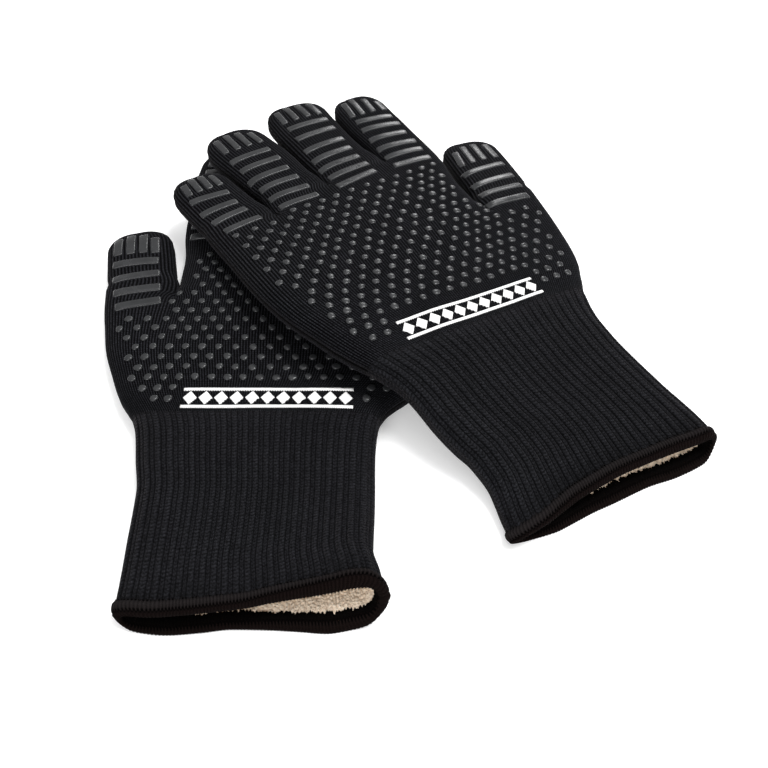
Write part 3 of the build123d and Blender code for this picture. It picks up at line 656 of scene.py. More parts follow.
def mix_rgb(nt, fac, a, b, mode="MIX"):
    n = nt.nodes.new("ShaderNodeMix")
    n.data_type = "RGBA"
    n.blend_type = mode
    if isinstance(fac, (int, float)):
        n.inputs[0].default_value = fac
    else:
        nt.links.new(fac, n.inputs[0])
    for i, x in ((6, a), (7, b)):
        if isinstance(x, tuple):
            n.inputs[i].default_value = (*x, 1)
        else:
            nt.links.new(x, n.inputs[i])
    return n.outputs[2]


def bump_node(nt, height, distance, strength=1.0, normal=None):
    n = nt.nodes.new("ShaderNodeBump")
    n.inputs["Strength"].default_value = strength
    n.inputs["Distance"].default_value = distance
    nt.links.new(height, n.inputs["Height"])
    if normal is not None:
        nt.links.new(normal, n.inputs["Normal"])
    return n.outputs[0]


def knit_material(name, dark, light, stitch, distance, fuzz, rib=False):
    """Columns of V-shaped stitches. U counts stitch columns, or ribs of one
    broad and one narrow set-back column; V runs along them in millimetres."""
    m, nt, bsdf = new_mat(name)
    uv = nt.nodes.new("ShaderNodeUVMap")
    uv.uv_map = "knit"
    sep = nt.nodes.new("ShaderNodeSeparateXYZ")
    nt.links.new(uv.outputs[0], sep.inputs[0])
    obj = nt.nodes.new("ShaderNodeTexCoord").outputs["Object"]
    wob = noise_node(nt, obj, 260, 2)
    fu = math_node(nt, "FRACT", sep.outputs[0])
    low = None
    if rib:
        a1 = math_node(nt, "MULTIPLY", math_node(nt, "ABSOLUTE", math_node(nt, "SUBTRACT", fu, 0.29)), 1 / 0.29)
        a2 = math_node(nt, "MULTIPLY", math_node(nt, "ABSOLUTE", math_node(nt, "SUBTRACT", fu, 0.79)), 1 / 0.19)
        a = math_node(nt, "MINIMUM", math_node(nt, "MINIMUM", a1, a2), 1.0)
        low = math_node(nt, "LESS_THAN", a2, 1.0)
    else:
        a = math_node(nt, "MULTIPLY", math_node(nt, "ABSOLUTE", math_node(nt, "SUBTRACT", fu, 0.5)), 2.0)
    lean = math_node(nt, "MULTIPLY", a, 0.55)
    along = math_node(nt, "SUBTRACT", math_node(nt, "MULTIPLY", sep.outputs[1], stitch), lean)
    along = math_node(nt, "ADD", along, math_node(nt, "MULTIPLY", wob, 0.35))
    ph = math_node(nt, "FRACT", along)
    loop = math_node(nt, "SINE", math_node(nt, "MULTIPLY", ph, math.pi))
    # a rib reads as V stitches, the fine wales as ridges with one dark groove
    turn = 0.8 if rib else 0.42
    loop = math_node(nt, "ADD", math_node(nt, "MULTIPLY", loop, turn), 1.0 - turn)
    leg = math_node(nt, "SUBTRACT", 1.0, math_node(nt, "POWER", math_node(nt, "ABSOLUTE", math_node(nt, "SUBTRACT", math_node(nt, "MULTIPLY", a, 2.0), 0.9)), 2.2), clamp=True)
    part = 0.5 if rib else 0.12
    leg = math_node(nt, "ADD", math_node(nt, "MULTIPLY", leg, part), 1.0 - part)
    edge = math_node(nt, "SUBTRACT", 1.0, math_node(nt, "POWER", a, 5.0 if rib else 1.0))
    body = math_node(nt, "MULTIPLY", math_node(nt, "MULTIPLY", loop, leg), edge)
    if rib:
        body = math_node(nt, "MULTIPLY", body, math_node(nt, "SUBTRACT", 1.0, math_node(nt, "MULTIPLY", low, 0.26)))
    fibre = noise_node(nt, obj, 2600, 3, 0.7)
    h = math_node(nt, "ADD", body, math_node(nt, "MULTIPLY", fibre, fuzz))
    # the colour runs from near black in the grooves to light on the ridges: partly the yarn's own dark gaps, partly
    # painted shade in the grooves
    mid = 0.48 if rib else 0.12
    col = ramp_node(nt, body, [(0.0, dark), (0.35, tuple(d * (1 - mid) + l * mid for d, l in zip(dark, light))), (0.80, light)])
    # yarn is not one even tone
    fleck = noise_node(nt, obj, 1150, 2, 0.6)
    fleck = math_node(nt, "ADD", math_node(nt, "MULTIPLY", math_node(nt, "SUBTRACT", fleck, 0.5), 3.3), 1.0, clamp=False)
    patch = noise_node(nt, obj, 40, 4)
    patch = math_node(nt, "ADD", math_node(nt, "MULTIPLY", math_node(nt, "SUBTRACT", patch, 0.5), 0.7), 1.0)
    gain = math_node(nt, "MAXIMUM", math_node(nt, "MULTIPLY", fleck, patch), 0.22)
    if rib:
        # painted shade: the knit is darker beside the seam of the hem, in the valley below the raised roll
        hem_valley_shade = math_node(nt, "MULTIPLY", math_node(nt, "SUBTRACT", sep.outputs[1], 3.0), 1 / 10, clamp=True)
        gain = math_node(nt, "MULTIPLY", gain, math_node(nt, "ADD", math_node(nt, "MULTIPLY", hem_valley_shade, 0.36), 0.64))
    grey = nt.nodes.new("ShaderNodeCombineXYZ")
    for i in range(3):
        nt.links.new(gain, grey.inputs[i])
    mul = nt.nodes.new("ShaderNodeVectorMath")
    mul.operation = "MULTIPLY"
    nt.links.new(col, mul.inputs[0])
    nt.links.new(grey.outputs[0], mul.inputs[1])
    lint = math_node(nt, "GREATER_THAN", noise_node(nt, obj, 900, 1), 0.79)
    col = mix_rgb(nt, math_node(nt, "MULTIPLY", lint, 0.25), mul.outputs[0], (0.05, 0.048, 0.048))
    nt.links.new(col, bsdf.inputs["Base Color"])
    nt.links.new(bump_node(nt, h, distance), bsdf.inputs["Normal"])
    rough = math_node(nt, "ADD", math_node(nt, "MULTIPLY", fibre, 0.12), 0.78)
    nt.links.new(rough, bsdf.inputs["Roughness"])
    bsdf.inputs["Specular IOR Level"].default_value = 0.04
    bsdf.inputs["Sheen Weight"].default_value = 0.034 if rib else 0.024
    bsdf.inputs["Sheen Roughness"].default_value = 0.32
    bsdf.inputs["Sheen Tint"].default_value = (1.0, 0.90, 0.93, 1)
    return m


def silicone_material(name):
    m, nt, bsdf = new_mat(name)
    obj = nt.nodes.new("ShaderNodeTexCoord").outputs["Object"]
    big = noise_node(nt, obj, 120, 3)
    small = noise_node(nt, obj, 1500, 2)
    col = ramp_node(nt, big, [(0.25, (0.0150, 0.0157, 0.0168)), (0.75, (0.0272, 0.0280, 0.0298))])
    nt.links.new(col, bsdf.inputs["Base Color"])
    rough = math_node(nt, "ADD", math_node(nt, "MULTIPLY", big, 0.22), 0.14)
    nt.links.new(rough, bsdf.inputs["Roughness"])
    h = math_node(nt, "ADD", math_node(nt, "MULTIPLY", small, 0.3), big)
    nt.links.new(bump_node(nt, h, 0.00018), bsdf.inputs["Normal"])
    bsdf.inputs["Specular IOR Level"].default_value = 0.35
    return m


def print_material(name):
    m, nt, bsdf = new_mat(name)
    obj = nt.nodes.new("ShaderNodeTexCoord").outputs["Object"]
    n = noise_node(nt, obj, 700, 3)
    col = ramp_node(nt, n, [(0.3, (0.72, 0.71, 0.70)), (0.6, (0.86, 0.86, 0.85))])
    nt.links.new(col, bsdf.inputs["Base Color"])
    nt.links.new(math_node(nt, "ADD", math_node(nt, "MULTIPLY", n, 0.2), 0.5), bsdf.inputs["Roughness"])
    nt.links.new(bump_node(nt, n, 0.00015), bsdf.inputs["Normal"])
    return m


def hem_material(name):
    """Overlock band. U is in fine wales, so that one thread takes 1.5 of it; V
    counts the rings from the seam, over the rolled edge, to the inside."""
    m, nt, bsdf = new_mat(name)
    uv = nt.nodes.new("ShaderNodeUVMap")
    uv.uv_map = "knit"
    sep = nt.nodes.new("ShaderNodeSeparateXYZ")
    nt.links.new(uv.outputs[0], sep.inputs[0])
    obj = nt.nodes.new("ShaderNodeTexCoord").outputs["Object"]
    fibre = noise_node(nt, obj, 2200, 3, 0.7)
    wob = math_node(nt, "MULTIPLY", math_node(nt, "SUBTRACT", noise_node(nt, obj, 300, 2), 0.5), 0.7)
    # threads lean a little as they wrap the edge
    run = math_node(nt, "ADD", sep.outputs[0], math_node(nt, "ADD", math_node(nt, "MULTIPLY", sep.outputs[1], 0.06), wob))
    th = math_node(nt, "ABSOLUTE", math_node(nt, "SINE", math_node(nt, "MULTIPLY", run, math.pi * 2 / 3)))
    twist = math_node(nt, "SINE", math_node(nt, "ADD", math_node(nt, "MULTIPLY", sep.outputs[1], 9.0), math_node(nt, "MULTIPLY", run, 6.3)))
    h = math_node(nt, "ADD", th, math_node(nt, "ADD", math_node(nt, "MULTIPLY", twist, 0.15), math_node(nt, "MULTIPLY", fibre, 0.35)))
    k = 1 / 30
    # from ring 22.4 on, inside the mouth, the ramp is near black: painted shade
    base = ramp_node(nt, math_node(nt, "MULTIPLY", sep.outputs[1], k), [
        (0.0, (0.0062, 0.0057, 0.0062)), (4.3 * k, (0.0096, 0.0084, 0.0086)), (6.5 * k, (0.0150, 0.0128, 0.0130)), (8.2 * k, (0.0108, 0.0088, 0.0088)),
        (9.6 * k, (0.0062, 0.0040, 0.0037)), (12.0 * k, (0.0054, 0.0031, 0.0029)), (17.0 * k, (0.0050, 0.0028, 0.0024)),
        (20.0 * k, (0.0075, 0.0048, 0.0044)), (22.4 * k, (0.0015, 0.0010, 0.0009)), (1.0, (0.0011, 0.0008, 0.0007))])
    # the thick roll beside the seam is smooth, the rest shows its threads
    roll = math_node(nt, "SUBTRACT", 1.0, math_node(nt, "MULTIPLY", math_node(nt, "ABSOLUTE", math_node(nt, "SUBTRACT", sep.outputs[1], 6.3)), 1 / 3.2), clamp=True)
    th = math_node(nt, "ADD", math_node(nt, "MULTIPLY", th, math_node(nt, "SUBTRACT", 1.0, math_node(nt, "MULTIPLY", roll, 0.45))), math_node(nt, "MULTIPLY", roll, 0.30))
    shade = math_node(nt, "ADD", math_node(nt, "MULTIPLY", th, 0.40), math_node(nt, "ADD", math_node(nt, "MULTIPLY", fibre, 0.5), 0.32))
    # holes between the loops of the chains: beside the seam, on the face and inside. Each hole is painted near black:
    # painted shade in the gap
    for row, phase, half in ((3.2, 0.0, 0.8), (8.9, 0.0, 0.62), (10.3, 0.75, 0.7), (19.2, 0.0, 0.9), (20.6, 0.75, 0.9)):
        away = math_node(nt, "ABSOLUTE", math_node(nt, "SUBTRACT", sep.outputs[1], row))
        on = math_node(nt, "SUBTRACT", 1.0, math_node(nt, "MULTIPLY", away, 1 / (1.6 * half)), clamp=True)
        c = math_node(nt, "COSINE", math_node(nt, "MULTIPLY", math_node(nt, "SUBTRACT", run, phase), math.pi * 4 / 3))
        c = math_node(nt, "MULTIPLY", math_node(nt, "ADD", c, 0.25), 1.6, clamp=True)
        hole = math_node(nt, "MULTIPLY", math_node(nt, "MULTIPLY", on, 1.9, clamp=True), c, clamp=True)
        shade = math_node(nt, "MULTIPLY", shade, math_node(nt, "SUBTRACT", 1.0, math_node(nt, "MULTIPLY", hole, 0.92)))
        h = math_node(nt, "SUBTRACT", h, math_node(nt, "MULTIPLY", hole, 0.9))
    grey = nt.nodes.new("ShaderNodeCombineXYZ")
    for i in range(3):
        nt.links.new(shade, grey.inputs[i])
    mul = nt.nodes.new("ShaderNodeVectorMath")
    mul.operation = "MULTIPLY"
    nt.links.new(base, mul.inputs[0])
    nt.links.new(grey.outputs[0], mul.inputs[1])
    nt.links.new(mul.outputs[0], bsdf.inputs["Base Color"])
    nt.links.new(bump_node(nt, h, 0.00035), bsdf.inputs["Normal"])
    nt.links.new(math_node(nt, "ADD", math_node(nt, "MULTIPLY", fibre, 0.15), 0.70), bsdf.inputs["Roughness"])
    bsdf.inputs["Specular IOR Level"].default_value = 0.025
    return m


def terry_material(name):
    m, nt, bsdf = new_mat(name)
    obj = nt.nodes.new("ShaderNodeTexCoord").outputs["Object"]
    vor = nt.nodes.new("ShaderNodeTexVoronoi")
    vor.inputs["Scale"].default_value = 800
    nt.links.new(obj, vor.inputs["Vector"])
    loop = math_node(nt, "SUBTRACT", 1.0, vor.outputs["Distance"])
    fibre = noise_node(nt, obj, 1800, 4, 0.7)
    h = math_node(nt, "ADD", loop, math_node(nt, "MULTIPLY", fibre, 0.6))
    col = ramp_node(nt, math_node(nt, "MULTIPLY", h, 0.62), [(0.22, (0.74, 0.57, 0.42)), (0.50, (0.97, 0.80, 0.62)), (0.80, (0.99, 0.90, 0.76))])
    patch = noise_node(nt, obj, 90, 3)
    col = mix_rgb(nt, math_node(nt, "MULTIPLY", patch, 0.35), col, (0.96, 0.79, 0.61))
    nt.links.new(col, bsdf.inputs["Base Color"])
    nt.links.new(bump_node(nt, h, 0.0007), bsdf.inputs["Normal"])
    nt.links.new(math_node(nt, "ADD", math_node(nt, "MULTIPLY", fibre, 0.1), 0.85), bsdf.inputs["Roughness"])
    bsdf.inputs["Sheen Weight"].default_value = 0.3
    return m


PALM = knit_material("knit_fine_rib", (0.0002, 0.0002, 0.0003), (0.0168, 0.0173, 0.0204), 0.80, 0.00060, 0.40)
CUFF = knit_material("knit_wide_rib", (0.0024, 0.0024, 0.0028), (0.0116, 0.0118, 0.0138), 0.62, 0.00070, 0.35, rib=True)
GRIP = silicone_material("silicone_grip")
PRINT = print_material("white_print")
HEM = hem_material("overlock_thread")
TERRY = terry_material("terry_lining")


# ---- patches on the knit --------------------------------------------------
class Patches:
    """Raised shapes laid on the knit: each is a plan grid dropped on the surface."""

    def __init__(self, g, tree):
        self.g, self.tree = g, tree
        self.v, self.q, self.n = [], [], 0

    def drop(self, u, v):
        p = world(self.g, np.array([u, v, 0.0]))
        hit, nrm, _, _ = self.tree.ray_cast(Vector((p[0], p[1], 0.2)), Vector((0, 0, -1)))
        if hit is None:
            return None
        if nrm.z < 0:
            nrm = -nrm
        return np.array(hit) * 1000, np.array(nrm)

    def add(self, U, V, H, even=False):
        """U, V, H: (rows, cols) grids of plan position and height in millimetres. The rim is carried
        down into the knit. An even shape bridges small dips of the knit under it."""
        rows, cols = U.shape
        B, N = np.zeros((rows, cols, 3)), np.zeros((rows, cols, 3))
        for i in range(rows):
            for j in range(cols):
                d = self.drop(U[i, j], V[i, j])
                if d is None:
                    return False
                B[i, j], N[i, j] = d
        if even:
            for _ in range(6):
                for A in (B[..., 2:3], N):
                    up, dn = np.concatenate([A[:1], A[:-1]]), np.concatenate([A[1:], A[-1:]])
                    A += 0.5 * ((up + dn) / 2 - A)
            for _ in range(2):
                A = N
                lf, rt = np.concatenate([A[:, :1], A[:, :-1]], 1), np.concatenate([A[:, 1:], A[:, -1:]], 1)
                N = A + 0.5 * ((lf + rt) / 2 - A)
            N /= np.linalg.norm(N, axis=-1, keepdims=True)
        P = B + N * H[..., None]
        self.v.append(P.reshape(-1, 3) * 0.001)
        self.q.append(grid_faces(rows, cols, False, self.n))
        self.n += rows * cols
        return True

    def dot(self, u, v, r, h, flat=0.62):
        """Round dot with a low domed top."""
        rings = [(0.86, -0.35), (0.93, 0.06 * h), (1.0, 0.34 * h), (0.95, 0.60 * h), (0.80, 0.81 * h), (0.56, 0.93 * h), (0.28, 0.99 * h)]
        w2, w3 = 5.1 * u + 1.7 * v, 2.3 * u - 3.9 * v
        m = 14
        d = self.drop(u, v)
        if d is None:
            return
        P0, nrm = d
        t = np.cross(nrm, [0.0, 1.0, 0.0])
        t /= np.linalg.norm(t)
        b = np.cross(nrm, t)
        pts = []
        for k, z in rings:
            for j in range(m):
                a = 2 * math.pi * j / m
                rr = r * k * (1 + 0.05 * math.cos(2 * a + w2) + 0.05 * math.cos(3 * a + w3))
                pts.append(P0 + (t * math.cos(a) + b * math.sin(a)) * rr + nrm * z)
        pts.append(P0 + nrm * h)
        base = self.n
        self.v.append(np.array(pts) * 0.001)
        q = []
        for i in range(len(rings) - 1):
            for j in range(m):
                q.append((base + i * m + j, base + i * m + (j + 1) % m, base + (i + 1) * m + (j + 1) % m, base + (i + 1) * m + j))
        top = base + (len(rings) - 1) * m
        for j in range(0, m, 2):
            q.append((top + j, top + (j + 1) % m, top + (j + 2) % m, base + len(rings) * m))
        self.q.append(np.array(q))
        self.n += len(pts)

    def make(self, name, mat):
        v = np.concatenate(self.v)
        q = np.concatenate(self.q)
        ob = build(name, v, q, None, mat)
        # faces outwards: every patch faces up and out of the cloth
        import bmesh
        bm = bmesh.new()
        bm.from_mesh(ob.data)
        bmesh.ops.recalc_face_normals(bm, faces=bm.faces)
        up = sum(f.normal.z * f.calc_area() for f in bm.faces)
        if up < 0:
            bmesh.ops.reverse_faces(bm, faces=bm.faces)
        bm.to_mesh(ob.data)
        bm.free()
        for p in ob.data.polygons:
            p.use_smooth = True
        return ob


def bar_grid(u0, v0, u1, v1, width, height, arch=0.0, ends=1.3):
    """Plan grid of a rounded bar from (u0, v0) to (u1, v1)."""
    L = math.hypot(u1 - u0, v1 - v0)
    du, dv = (u1 - u0) / L, (v1 - v0) / L
    nu, nv = -dv, du
    s = np.concatenate([[0.0, 0.0, 0.25, 0.7, 1.3, 2.2], np.linspace(2.7, L - 2.7, max(int((L - 5.4) / 0.48), 4)), [L - 2.2, L - 1.3, L - 0.7, L - 0.25, L, L]])
    w = np.array([-1, -1, -0.93, -0.8, -0.55, -0.2, 0.2, 0.55, 0.8, 0.93, 1, 1]) * width / 2
    S, W = np.meshgrid(s, w, indexing="ij")
    # rounded plan corners
    near = np.minimum(S, L - S)
    shrink = 1 - 0.14 * np.clip(1 - near / ends, 0, 1) ** 2
    Wp = W * shrink
    x = np.clip(near / 1.1, 0, 1)
    y = np.clip((width / 2 - np.abs(W)) / (width * 0.22), 0, 1)
    H = height * (0.35 + 0.65 * np.sqrt(np.clip(1 - (1 - x) ** 2, 0, 1))) * (0.35 + 0.65 * np.sqrt(np.clip(1 - (1 - y) ** 2, 0, 1)))
    H = H * (1 + 0.16 * np.cos(2 * math.pi * S / 1.43 + 0.6 * np.sin(S * 0.9)) * (np.abs(W) > width * 0.3) * x)
    rim = np.zeros_like(S, bool)
    rim[0], rim[-1], rim[:, 0], rim[:, -1] = True, True, True, True
    H = np.where(rim, -0.45, H)
    bow = arch * (1 - ((S - L / 2) / (L / 2)) ** 2)
    U = u0 + du * S + nu * Wp + bow * abs(dv)
    V = v0 + dv * S + nv * Wp
    return U, V, H


def tip_bars(f, first):
    """Four lengthwise bars between the first cross bar and the fingertip."""
    ua, ub = first + 6.5, f["tip"] - 8.0
    um = (ua + ub) / 2
    psi = math.atan((float(pchip(f["c"], um + 4)) - float(pchip(f["c"], um - 4))) / 8)
    cen, a = float(pchip(f["c"], um)), float(pchip(f["a"], um))
    out = []
    for k in (-1.5, -0.5, 0.5, 1.5):
        off, half = k * a * 0.37, (ub - ua) / 2
        su, sv = math.cos(psi), math.sin(psi)
        cu, cv = um - off * sv, cen + off * su
        out.append((cu - half * su, cv - half * sv, cu + (half - abs(k)) * su, cv + (half - abs(k)) * sv))
    return out


# ---- one glove ------------------------------------------------------------
def make_glove(g):
    n = g["name"]
    palm_body, cuff_body = f"{n}_palm", f"{n}_cuff"
    flip = g["side"] > 0
    c = g["crotch"]
    m = g["mouth"]
    total = sum(WALES.values()) * CPW

    def rows_between(a, b, pitch):
        k = max(int(round((b - a) / pitch)), 2)
        return np.linspace(a, b, k + 1)

    # base grids of the shared tube
    us_cuff = rows_between(m + 3.0, g["cuff_end"], 1.5)
    us_a = rows_between(g["cuff_end"], c["thumb"], 1.5)
    cuff = np.array([section(g, u) for u in us_cuff])
    blocks = []
    block_a = np.array([section(g, u) for u in us_a])
    blocks.append((block_a, us_a, 0))
    order = [("thumb", "lr", 0), ("lr", "rm", WALES["little"]), ("rm", "mi", WALES["little"] + WALES["ring"])]
    for k0, k1, first in order:
        us = rows_between(c[k0], c[k1], 1.4)
        P = np.array([section(g, u + (1e-6 if i == 0 else 0)) for i, u in enumerate(us)])
        blocks.append((P, us, first))
    fingers = {name: finger_rows(g, name) for name in FINGERS}

    # smooth surface that grips and prints are laid on
    tv, tf, tn = [], [], 0
    for P in [b[0] for b in blocks] + [f[0] for f in fingers.values()]:
        Q = P + outward(P, normals_of(P)) * (unevenness(g, P) * np.clip((P[..., 2] - pchip(g["under"], P[..., 0])) / 5.0, 0, 1))[..., None]
        Q = Q[:, ::2] if P.shape[1] % 2 == 0 else Q
        W = world(g, Q).reshape(-1, 3)
        tv.append(W)
        tf.append(grid_faces(Q.shape[0], Q.shape[1], True, tn))
        tn += len(W)
    tree = BVHTree.FromPolygons([tuple(p) for p in np.concatenate(tv)], [tuple(int(i) for i in q) for q in np.concatenate(tf)])

    # cuff knit
    cl = Cloth()
    cd = mouth_warp(g, displaced(g, cuff, 0, us_cuff))
    cd[..., 2] = np.maximum(cd[..., 2], 0.05)
    U = knit_u(total, CPW / RIB)
    cl.tube(g, cd, U, us_cuff / 1.0, flip)
    cuff_ob = cl.make(f"{n}_cuff_knit", CUFF)
    # palm knit: one mesh of the shared tube beyond the wrist
    cl = Cloth()
    ends = [(cd[-1].copy(), 0)]
    for i, (P, us, first) in enumerate(blocks):
        D = displaced(g, P, first, us)
        cols_top = (P.shape[1] - 2 * (NW - 1)) // 2 - 1
        if ends:
            join(D, first, *ends[-1])
        ends.append((D[-1].copy(), first))
        cl.tube(g, D, knit_u(cols_top, 1.0, first), us, flip)
    palm_ob = cl.make(f"{n}_palm_knit", PALM)
    finger_obs = {}
    starts = {"little": 0, "ring": WALES["little"], "middle": WALES["little"] + WALES["ring"],
              "index": WALES["little"] + WALES["ring"] + WALES["middle"], "thumb": sum(WALES.values()) - WALES["thumb"]}
    for name, (P, start) in fingers.items():
        f = g["fingers"][name]
        D = displaced(g, P, starts[name], P[:, 0, 0])
        # the ribs die away over the very tip
        q = step(f["tip"] - 5, f["tip"], P[..., 0])[..., None]
        D = D * (1 - q) + P * q
        join(D, starts[name], *ends[{"thumb": 1, "little": 2, "ring": 3, "middle": 4, "index": 4}[name]])
        V = start + np.concatenate([[0], np.cumsum(np.linalg.norm(np.diff(P.mean(1), axis=0), axis=1))])
        cl = Cloth()
        cl.tube(g, D, knit_u(WALES[name] * CPW, 1.0, starts[name]), V, flip, cap=True)
        finger_obs[name] = cl.make(f"{n}_{name}_knit", PALM)

    # linings: the same tubes, smaller
    li = 2.3
    cl = Cloth()
    us_lin = rows_between(m + (4.0 if n == "left" else 5.2), g["cuff_end"], 1.6)
    L = np.array([section(g, u, li + 0.4, 2) for u in us_lin])
    rng = np.random.RandomState(5)
    jag = np.convolve(rng.uniform(-1, 1, L.shape[1] + 6), np.ones(2) / 2, "same")[3:-3] * 1.3 + np.sin(np.arange(L.shape[1]) * 0.05) * 0.6
    L[:, :, 0] += np.exp(-(us_lin - us_lin[0]) / 3.0)[:, None] * jag[None, :]
    nl = outward(L, normals_of(L))
    pile = rng.uniform(-0.35, 0.35, L.shape[:2])
    L = mouth_warp(g, L + nl * pile[..., None])
    top2 = (L.shape[1] - 2 * (NW - 1)) // 2 - 1
    cl.tube(g, L, np.arange(L.shape[1] + 1) * 0.5, us_lin, flip)
    lin_cuff = cl.make(f"{n}_cuff_terry", TERRY)
    cl = Cloth()
    for a, b in ((g["cuff_end"], c["thumb"]), (c["thumb"], c["lr"]), (c["lr"], c["rm"]), (c["rm"], c["mi"])):
        us = rows_between(a, b, 3.0)
        L = np.array([section(g, u + (1e-6 if (i == 0 and a > g["cuff_end"]) else 0), li, 1) for i, u in enumerate(us)])
        cl.tube(g, L, np.arange(L.shape[1] + 1) * 1.0, us, flip)
    lin_palm = cl.make(f"{n}_palm_terry", TERRY)
    lin_f = {}
    for name in FINGERS:
        P, start = finger_rows(g, name, li, 1, 3.0)
        cl = Cloth()
        cl.tube(g, P, np.arange(P.shape[1] + 1) * 1.0, P[:, 0, 0], flip, cap=True)
        lin_f[name] = cl.make(f"{n}_{name}_terry", TERRY)

    # overlocked hem: a closed band that wraps the edge of both layers
    path = [(6.2, 0.9), (5.9, 0.35), (5.5, -0.05), (5.1, -0.3), (4.75, -0.22), (4.4, -0.5), (3.9, -0.95), (3.3, -1.15), (2.7, -1.05),
            (2.2, -0.62), (1.8, -0.55), (1.3, -0.95), (0.7, -1.1), (0.1, -0.95), (-0.45, -0.5), (-0.8, 0.15), (-0.85, 0.9), (-0.6, 1.6),
            (-0.1, 2.2), (0.6, 2.65), (1.2, 2.75), (1.6, 2.65), (2.1, 2.9), (2.8, 3.25), (3.6, 3.35), (4.4, 3.3), (5.2, 3.2), (5.8, 2.9),
            (6.1, 2.3), (6.2, 1.5)]
    # where the top layer rolls forward the thick roll is wider and the chain sits on the edge
    wide = [(6.2, 0.9), (5.95, 0.35), (5.65, -0.05), (5.35, -0.25), (5.0, -0.2), (4.5, -0.75), (3.7, -1.2), (2.6, -1.3), (1.5, -1.15),
            (0.85, -0.75), (0.4, -0.6), (0.0, -0.62), (-0.4, -0.35), (-0.65, 0.05), (-0.8, 0.45), (-0.85, 0.9), (-0.8, 1.35), (-0.55, 1.85), (-0.1, 2.3)]
    Hm = np.array([section(g, m + max(du, -3.0), ins) for du, ins in path])
    Hw = np.array([section(g, m + max(du, -3.0), ins) for du, ins in wide + path[19:]])
    short = {22: -0.2, 23: -0.4, 24: -0.7, 25: -1.0, 26: -1.3, 27: -1.4, 28: -1.1, 29: -0.5} if n == "left" else {}
    for i, du in short.items():
        for H in (Hm, Hw):
            H[i, :, 0] += du * (1 - step(-8, 16, H[i, :, 1]))
    share = pchip(g["hem_wide"], Hm[0, :, 1])[None, :, None]
    Hm = Hm * (1 - share) + Hw * share
    cols = Hm.shape[1]
    nh = outward(Hm, normals_of(Hm))
    k = np.arange(cols)
    hole = {3: 0, 8: 0, 9: 0, 10: 3, 19: 0, 20: 3, 21: 3}
    for i, (du, ins) in enumerate(path):
        sgn = 1.0 if ins < 1.1 else -1.0
        if i == 8:
            Hm[i] -= nh[i] * sgn * (0.16 * np.cos((k + i * 0.24) * math.pi / 3))[:, None]
        elif i in hole:
            Hm[i] -= nh[i] * sgn * (0.34 * np.cos((k + i * 0.24 + hole[i]) * math.pi / 3) + 0.05)[:, None]
        elif 2 <= i <= 27:
            Hm[i] -= nh[i] * sgn * ((0.05 if n == "left" and 5 <= i <= 7 else 0.11) * np.cos((k + i * 0.24) * math.pi / 3))[:, None]
    # loose ends along the inner edge
    rough = np.random.RandomState(41 if n == "left" else 17)
    tuft = np.convolve(rough.uniform(-1, 1, cols + 8), [0.25, 0.5, 0.7, 0.5, 0.25], "same")[4:-4] * 0.75 + np.sin(k * 0.037) * 0.25
    for i, w in ((23, 0.3), (24, 0.6), (25, 0.85), (26, 1.0), (27, 1.0), (28, 0.7), (29, 0.35)):
        Hm[i, :, 0] += tuft * w
    Hm = mouth_warp(g, Hm)
    Hm[..., 2] = np.maximum(Hm[..., 2], 0.0)
    loop = np.concatenate([Hm, Hm[:1]], 0)
    cl = Cloth()
    cl.tube(g, loop, np.arange(cols + 1) / 4.0, np.arange(len(loop)) * 1.0, flip)
    hem_ob = cl.make(f"{n}_hem_overlock", HEM)

    # silicone bars
    pal = Patches(g, tree)
    grips = {}
    for name in FINGERS:
        f = g["fingers"][name]
        bend = g["bend"].get(name)
        gp = Patches(g, tree)
        for i, (u0, v0, u1, v1) in enumerate(g["bars"][name]):
            mid = (u0 + u1) / 2
            target = gp
            if bend is not None and mid + 3.5 < bend[0]:
                target = pal
            if bend is None and i >= len(g["bars"][name]) - 2:
                target = pal
            target.add(*bar_grid(u0, v0, u1, v1, 4.9 if n == "right" else 5.4, 1.0, 0.25), even=True)
        for bar in f.get("tips") or tip_bars(f, (g["bars"][name][0][0] + g["bars"][name][0][2]) / 2):
            gp.add(*bar_grid(*bar, 3.95 if n == "right" else 5.0, 0.95), even=True)
        grips[name] = gp.make(f"{n}_{name}_bars", GRIP)
    palm_bars = pal.make(f"{n}_palm_cross_bars", GRIP)

    # dots: on every sixth wale, rows staggered by three
    dots = Patches(g, tree)
    all_segs = list(FINGERS)
    row = -1 if n == "right" else 0
    u = g["dots"][0] + (6.35 if n == "right" else 0)
    lowbar = {f: min(min(b[0], b[2]) for b in g["bars"][f]) for f in FINGERS}
    rng = np.random.RandomState(11 if n == "left" else 23)
    while u > g["dots"][1]:
        segs = present(g, u)
        ring = section(g, u)
        cols_top = (ring.shape[0] - 2 * (NW - 1)) // 2
        top = ring[:cols_top]
        lo, hi = top[:, 1].min(), top[:, 1].max()
        firsts = {s: starts[s] for s in segs}
        w = 3 * (row % 2) + 1
        while w < sum(WALES[s] for s in segs):
            col = w * CPW + 2
            if col < cols_top:
                v = top[col, 1]
                seg = "little"
                for s in segs:
                    if starts[s] <= w:
                        seg = s
                margin_l = 9.0 if seg == "little" else 0
                ok = v > lo + 9.0 and v < hi - (8.0 if seg == "thumb" else 7.0)
                if u > lowbar[seg] - 5.0:
                    ok = False
                if seg == "thumb" and u < 104 and v > hi - 10:
                    ok = False
                # clear of the print
                pu, pv = g["print_at"]
                if u < pu + 10.5 and abs(v - pv) < 43.5:
                    ok = False
                if u < pu - 4:
                    ok = False
                if ok:
                    dots.dot(u + rng.uniform(-0.35, 0.35), v + rng.uniform(-0.3, 0.3), 2.0 * rng.uniform(0.92, 1.08), 1.22)
            w += 6
        u -= 6.35
        row += 1
    dots_ob = dots.make(f"{n}_grip_dots", GRIP)

